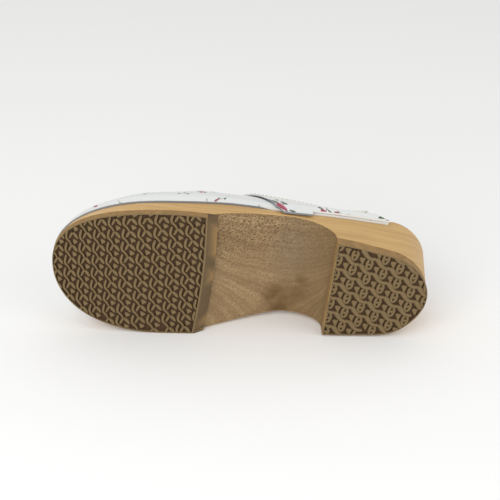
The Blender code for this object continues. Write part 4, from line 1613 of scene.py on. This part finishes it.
def soft_lights(stage):
    """An even pale surround and two wide soft lamps."""
    world = bpy.data.worlds.new("studio")
    world.use_nodes = True
    surround = world.node_tree.nodes["Background"]
    surround.inputs["Color"].default_value = (1.0, 1.0, 1.0, 1.0)
    surround.inputs["Strength"].default_value = stage.surround
    bpy.context.scene.world = world
    for name, place, size in LAMPS:
        lamp = bpy.data.lights.new(name, "AREA")
        lamp.size = size
        lamp.energy = getattr(stage, name)
        obj = linked(name, lamp)
        obj.location = place
        obj.rotation_euler = (-Vector(place)).to_track_quat("-Z", "Y").to_euler()


def camera(stage):
    """The camera, aimed in the clog's own frame and then laid down with it."""
    azimuth, elevation, roll = stage.view_azimuth, stage.view_elevation, stage.view_roll
    level = math.cos(elevation)
    away = Vector((math.sin(azimuth) * level, math.sin(elevation), -math.cos(azimuth) * level))
    right = (-away).cross(Vector((0, 1, 0))).normalized()
    up = right.cross(-away)
    level_right = math.cos(roll) * right + math.sin(roll) * up
    level_up = -math.sin(roll) * right + math.cos(roll) * up
    turn = Matrix((level_right, level_up, away)).transposed().to_4x4()
    turn.translation = Vector(stage.view_target) + away * stage.view_distance
    made = bpy.data.cameras.new("camera")
    made.lens = stage.lens
    made.sensor_width = SENSOR_WIDTH
    made.clip_end = VIEW_DEPTH
    obj = linked("camera", made)
    obj.matrix_world = lying_pose() @ turn
    bpy.context.scene.camera = obj


# Settings


def colour_property(label, description, code):
    """A colour that a user may change."""
    limits = {"size": 3, "min": 0.0, "max": 1.0}
    return FloatVectorProperty(
        name=label, description=description, subtype="COLOR", default=tint(code), **limits
    )


def length_property(label, description, default):
    """A length in metres that a user may change."""
    return FloatProperty(
        name=label, description=description, default=default, unit="LENGTH", precision=5
    )


def angle_property(label, description, degrees):
    """An angle that a user may change."""
    return FloatProperty(
        name=label, description=description, default=math.radians(degrees), subtype="ANGLE"
    )


class ClogColours(bpy.types.PropertyGroup):
    """Colours of the clog's materials."""

    wood_side: colour_property("Wood side", "Waxed side of the sole", "#D1AD74")
    wood_side_deep: colour_property("Wood side, deep", "Darker bands of the waxed side", "#B28A54")
    wood_sap: colour_property("Sapwood", "Paler side of the toe", "#EBCB95")
    wood_bare: colour_property("Bare wood", "Sanded underside of the sole", "#AF956E")
    wood_bare_deep: colour_property("Bare wood, deep", "Darker bands of the underside", "#846A4A")
    wood_fibre: colour_property("Wood fibre", "Dark fibres of the bare underside", "#5F4A30")
    wood_stain: colour_property("Wood stain", "Stain at the back of the waist", "#60431F")
    wood_dull: colour_property("Dull wood", "Greyed patch of the underside", "#857663")
    # Painted shade that darkens the underside towards the heel's breast
    painted_breast_shade: colour_property("Wood breast", "Dull wood at the heel's breast", "#77603F")
    wood_bed: colour_property("Footbed", "Pale footbed", "#E6D4B6")
    wood_bed_deep: colour_property("Footbed, deep", "Darker bands of the footbed", "#D2B995")
    rubber_top: colour_property("Rubber", "Tops of the lugs", "#6F5C3E")
    rubber_worn: colour_property("Rubber, worn", "Worn patches of the lugs", "#7A6647")
    # Painted shade and dirt of the groove floor between the lugs
    groove_shade_and_dirt: colour_property("Rubber groove", "Groove floor between the lugs", "#493622")
    rubber_side: colour_property("Rubber side", "Side band of the treads", "#AF8854")
    rubber_bevel: colour_property("Rubber bevel", "Skived rear edge of the half-sole", "#5E4C34")
    leather: colour_property("Leather", "Ground of the printed leather", "#E7E9E7")
    leather_shade: colour_property("Leather shade", "Faint shade of the leather", "#DEE0DE")
    cut_edge: colour_property("Cut edge", "Raw edge of the leather", "#8D8E91")
    cut_edge_shade: colour_property("Cut edge shade", "Darker fibres of the raw edge", "#77787C")
    lining: colour_property("Lining", "Inside of the upper", "#ABA49E")
    lining_shade: colour_property("Lining shade", "Darker patches of the lining", "#968F89")
    binding: colour_property("Binding", "Rolled topline binding", "#ECEAE1")
    binding_shade: colour_property("Binding shade", "Faint shade of the binding", "#DFDCD0")
    thread: colour_property("Thread", "Topline stitches", "#DAD7CC")
    thread_shade: colour_property("Thread shade", "Twist of the thread", "#B4B0A3")
    rose_deep: colour_property("Rose, deep", "Hearts of the printed roses", "#9C1640")
    rose_pale: colour_property("Rose, pale", "Petals of the printed roses", "#EFB3C8")
    leaf_dark: colour_property("Leaf, dark", "Dark half of the printed leaves", "#33452F")
    leaf_pale: colour_property("Leaf, pale", "Pale half of the printed leaves", "#76886D")
    stem: colour_property("Stem", "Thin printed stems", "#5B6A58")


class ClogSizes(bpy.types.PropertyGroup):
    """Fine sizes that the solids leave out."""

    groove_depth: length_property("Groove depth", "Depth of the forefoot's grooves", 0.0019)
    heel_groove: length_property("Heel groove", "Depth of the heel's grooves", 0.0019)
    plain_edge: length_property("Plain edge", "Plain strip along a tread's straight edge", 0.0011)
    stitch_pitch: length_property("Stitch pitch", "Distance from stitch to stitch", 0.0031)
    stitch_length: length_property("Stitch length", "Length of a stitch", 0.0024)
    stitch_width: length_property("Stitch width", "Thickness of the thread", 0.0009)
    stitch_drop: length_property("Stitch drop", "Distance of the seam below the roll", 0.0026)


class ClogStage(bpy.types.PropertyGroup):
    """Floor, light and camera."""

    floor_size: length_property("Floor size", "Side of the square floor", 8.0)
    floor_colour: colour_property("Floor colour", "Pale floor", "#FAFAF9")
    surround: FloatProperty(name="Surround", description="Strength of the even light", default=0.72)
    key: FloatProperty(name="Key", description="Power of the key lamp", default=14.0)
    fill: FloatProperty(name="Fill", description="Power of the fill lamp", default=5.0)
    lens: FloatProperty(name="Lens", description="Focal length in millimetres", default=95.8)
    view_distance: length_property("Distance", "Camera to its aim", 0.86986)
    view_azimuth: angle_property("Azimuth", "Turn about the sole", 5.23)
    view_elevation: angle_property("Elevation", "Tilt to the lateral side", 29.76)
    view_roll: angle_property("Roll", "Roll about the view", 8.24)
    view_target: FloatVectorProperty(
        name="Aim",
        description="Aim of the camera in the clog's own frame",
        subtype="XYZ",
        unit="LENGTH",
        size=3,
        default=(0.11875, 0.01561, 0.015),
    )


# Operators and panel


class CLOG_OT_sole(bpy.types.Operator):
    """Make the carved wooden sole"""

    bl_idname = "clog.sole"
    bl_label = "Carved sole"

    def execute(self, context):
        carved_sole(context.scene.clog_colours)
        return {"FINISHED"}


class CLOG_OT_treads(bpy.types.Operator):
    """Make the two rubber treads with their lugs"""

    bl_idname = "clog.treads"
    bl_label = "Rubber treads"

    def execute(self, context):
        forefoot_rubber(context.scene.clog_colours, context.scene.clog_sizes)
        heel_rubber(context.scene.clog_colours, context.scene.clog_sizes)
        return {"FINISHED"}


class CLOG_OT_upper(bpy.types.Operator):
    """Make the printed leather upper with its lining"""

    bl_idname = "clog.upper"
    bl_label = "Leather upper"

    def execute(self, context):
        lasted_upper(context.scene.clog_colours)
        return {"FINISHED"}


class CLOG_OT_collar(bpy.types.Operator):
    """Make the leather collar lapped over the upper"""

    bl_idname = "clog.collar"
    bl_label = "Leather collar"

    def execute(self, context):
        lapped_collar(context.scene.clog_colours)
        return {"FINISHED"}


class CLOG_OT_binding(bpy.types.Operator):
    """Make the rolled topline binding and its stitches"""

    bl_idname = "clog.binding"
    bl_label = "Topline binding"

    def execute(self, context):
        rolled_binding(context.scene.clog_colours, context.scene.clog_sizes)
        return {"FINISHED"}


class CLOG_OT_stage(bpy.types.Operator):
    """Make the floor, the lights and the camera"""

    bl_idname = "clog.stage"
    bl_label = "Stage"

    def execute(self, context):
        stage = context.scene.clog_stage
        pale_floor(stage)
        soft_lights(stage)
        camera(stage)
        context.scene.view_settings.view_transform = "Standard"
        return {"FINISHED"}


OPERATORS = (
    CLOG_OT_stage,
    CLOG_OT_sole,
    CLOG_OT_treads,
    CLOG_OT_upper,
    CLOG_OT_collar,
    CLOG_OT_binding,
)


class CLOG_PT_looks(bpy.types.Panel):
    """Pieces of the clog"""

    bl_idname = "CLOG_PT_looks"
    bl_label = "Clog looks"
    bl_space_type = "VIEW_3D"
    bl_region_type = "UI"
    bl_category = "Clog"

    def draw(self, context):
        for operator in OPERATORS:
            self.layout.operator(operator.bl_idname, text=operator.bl_label)


CLASSES = (ClogColours, ClogSizes, ClogStage) + OPERATORS + (CLOG_PT_looks,)


def register():
    """Registers the classes and hangs the settings on the scene."""
    for item in CLASSES:
        bpy.utils.register_class(item)
    bpy.types.Scene.clog_colours = PointerProperty(type=ClogColours)
    bpy.types.Scene.clog_sizes = PointerProperty(type=ClogSizes)
    bpy.types.Scene.clog_stage = PointerProperty(type=ClogStage)


def unregister():
    """Takes the settings and the classes away again."""
    del bpy.types.Scene.clog_stage
    del bpy.types.Scene.clog_sizes
    del bpy.types.Scene.clog_colours
    for item in reversed(CLASSES):
        bpy.utils.unregister_class(item)


def main():
    """Makes the stage and every piece."""
    register()
    bpy.ops.clog.stage()
    bpy.ops.clog.sole()
    bpy.ops.clog.treads()
    bpy.ops.clog.upper()
    bpy.ops.clog.collar()
    bpy.ops.clog.binding()


if __name__ == "__main__":
    main()
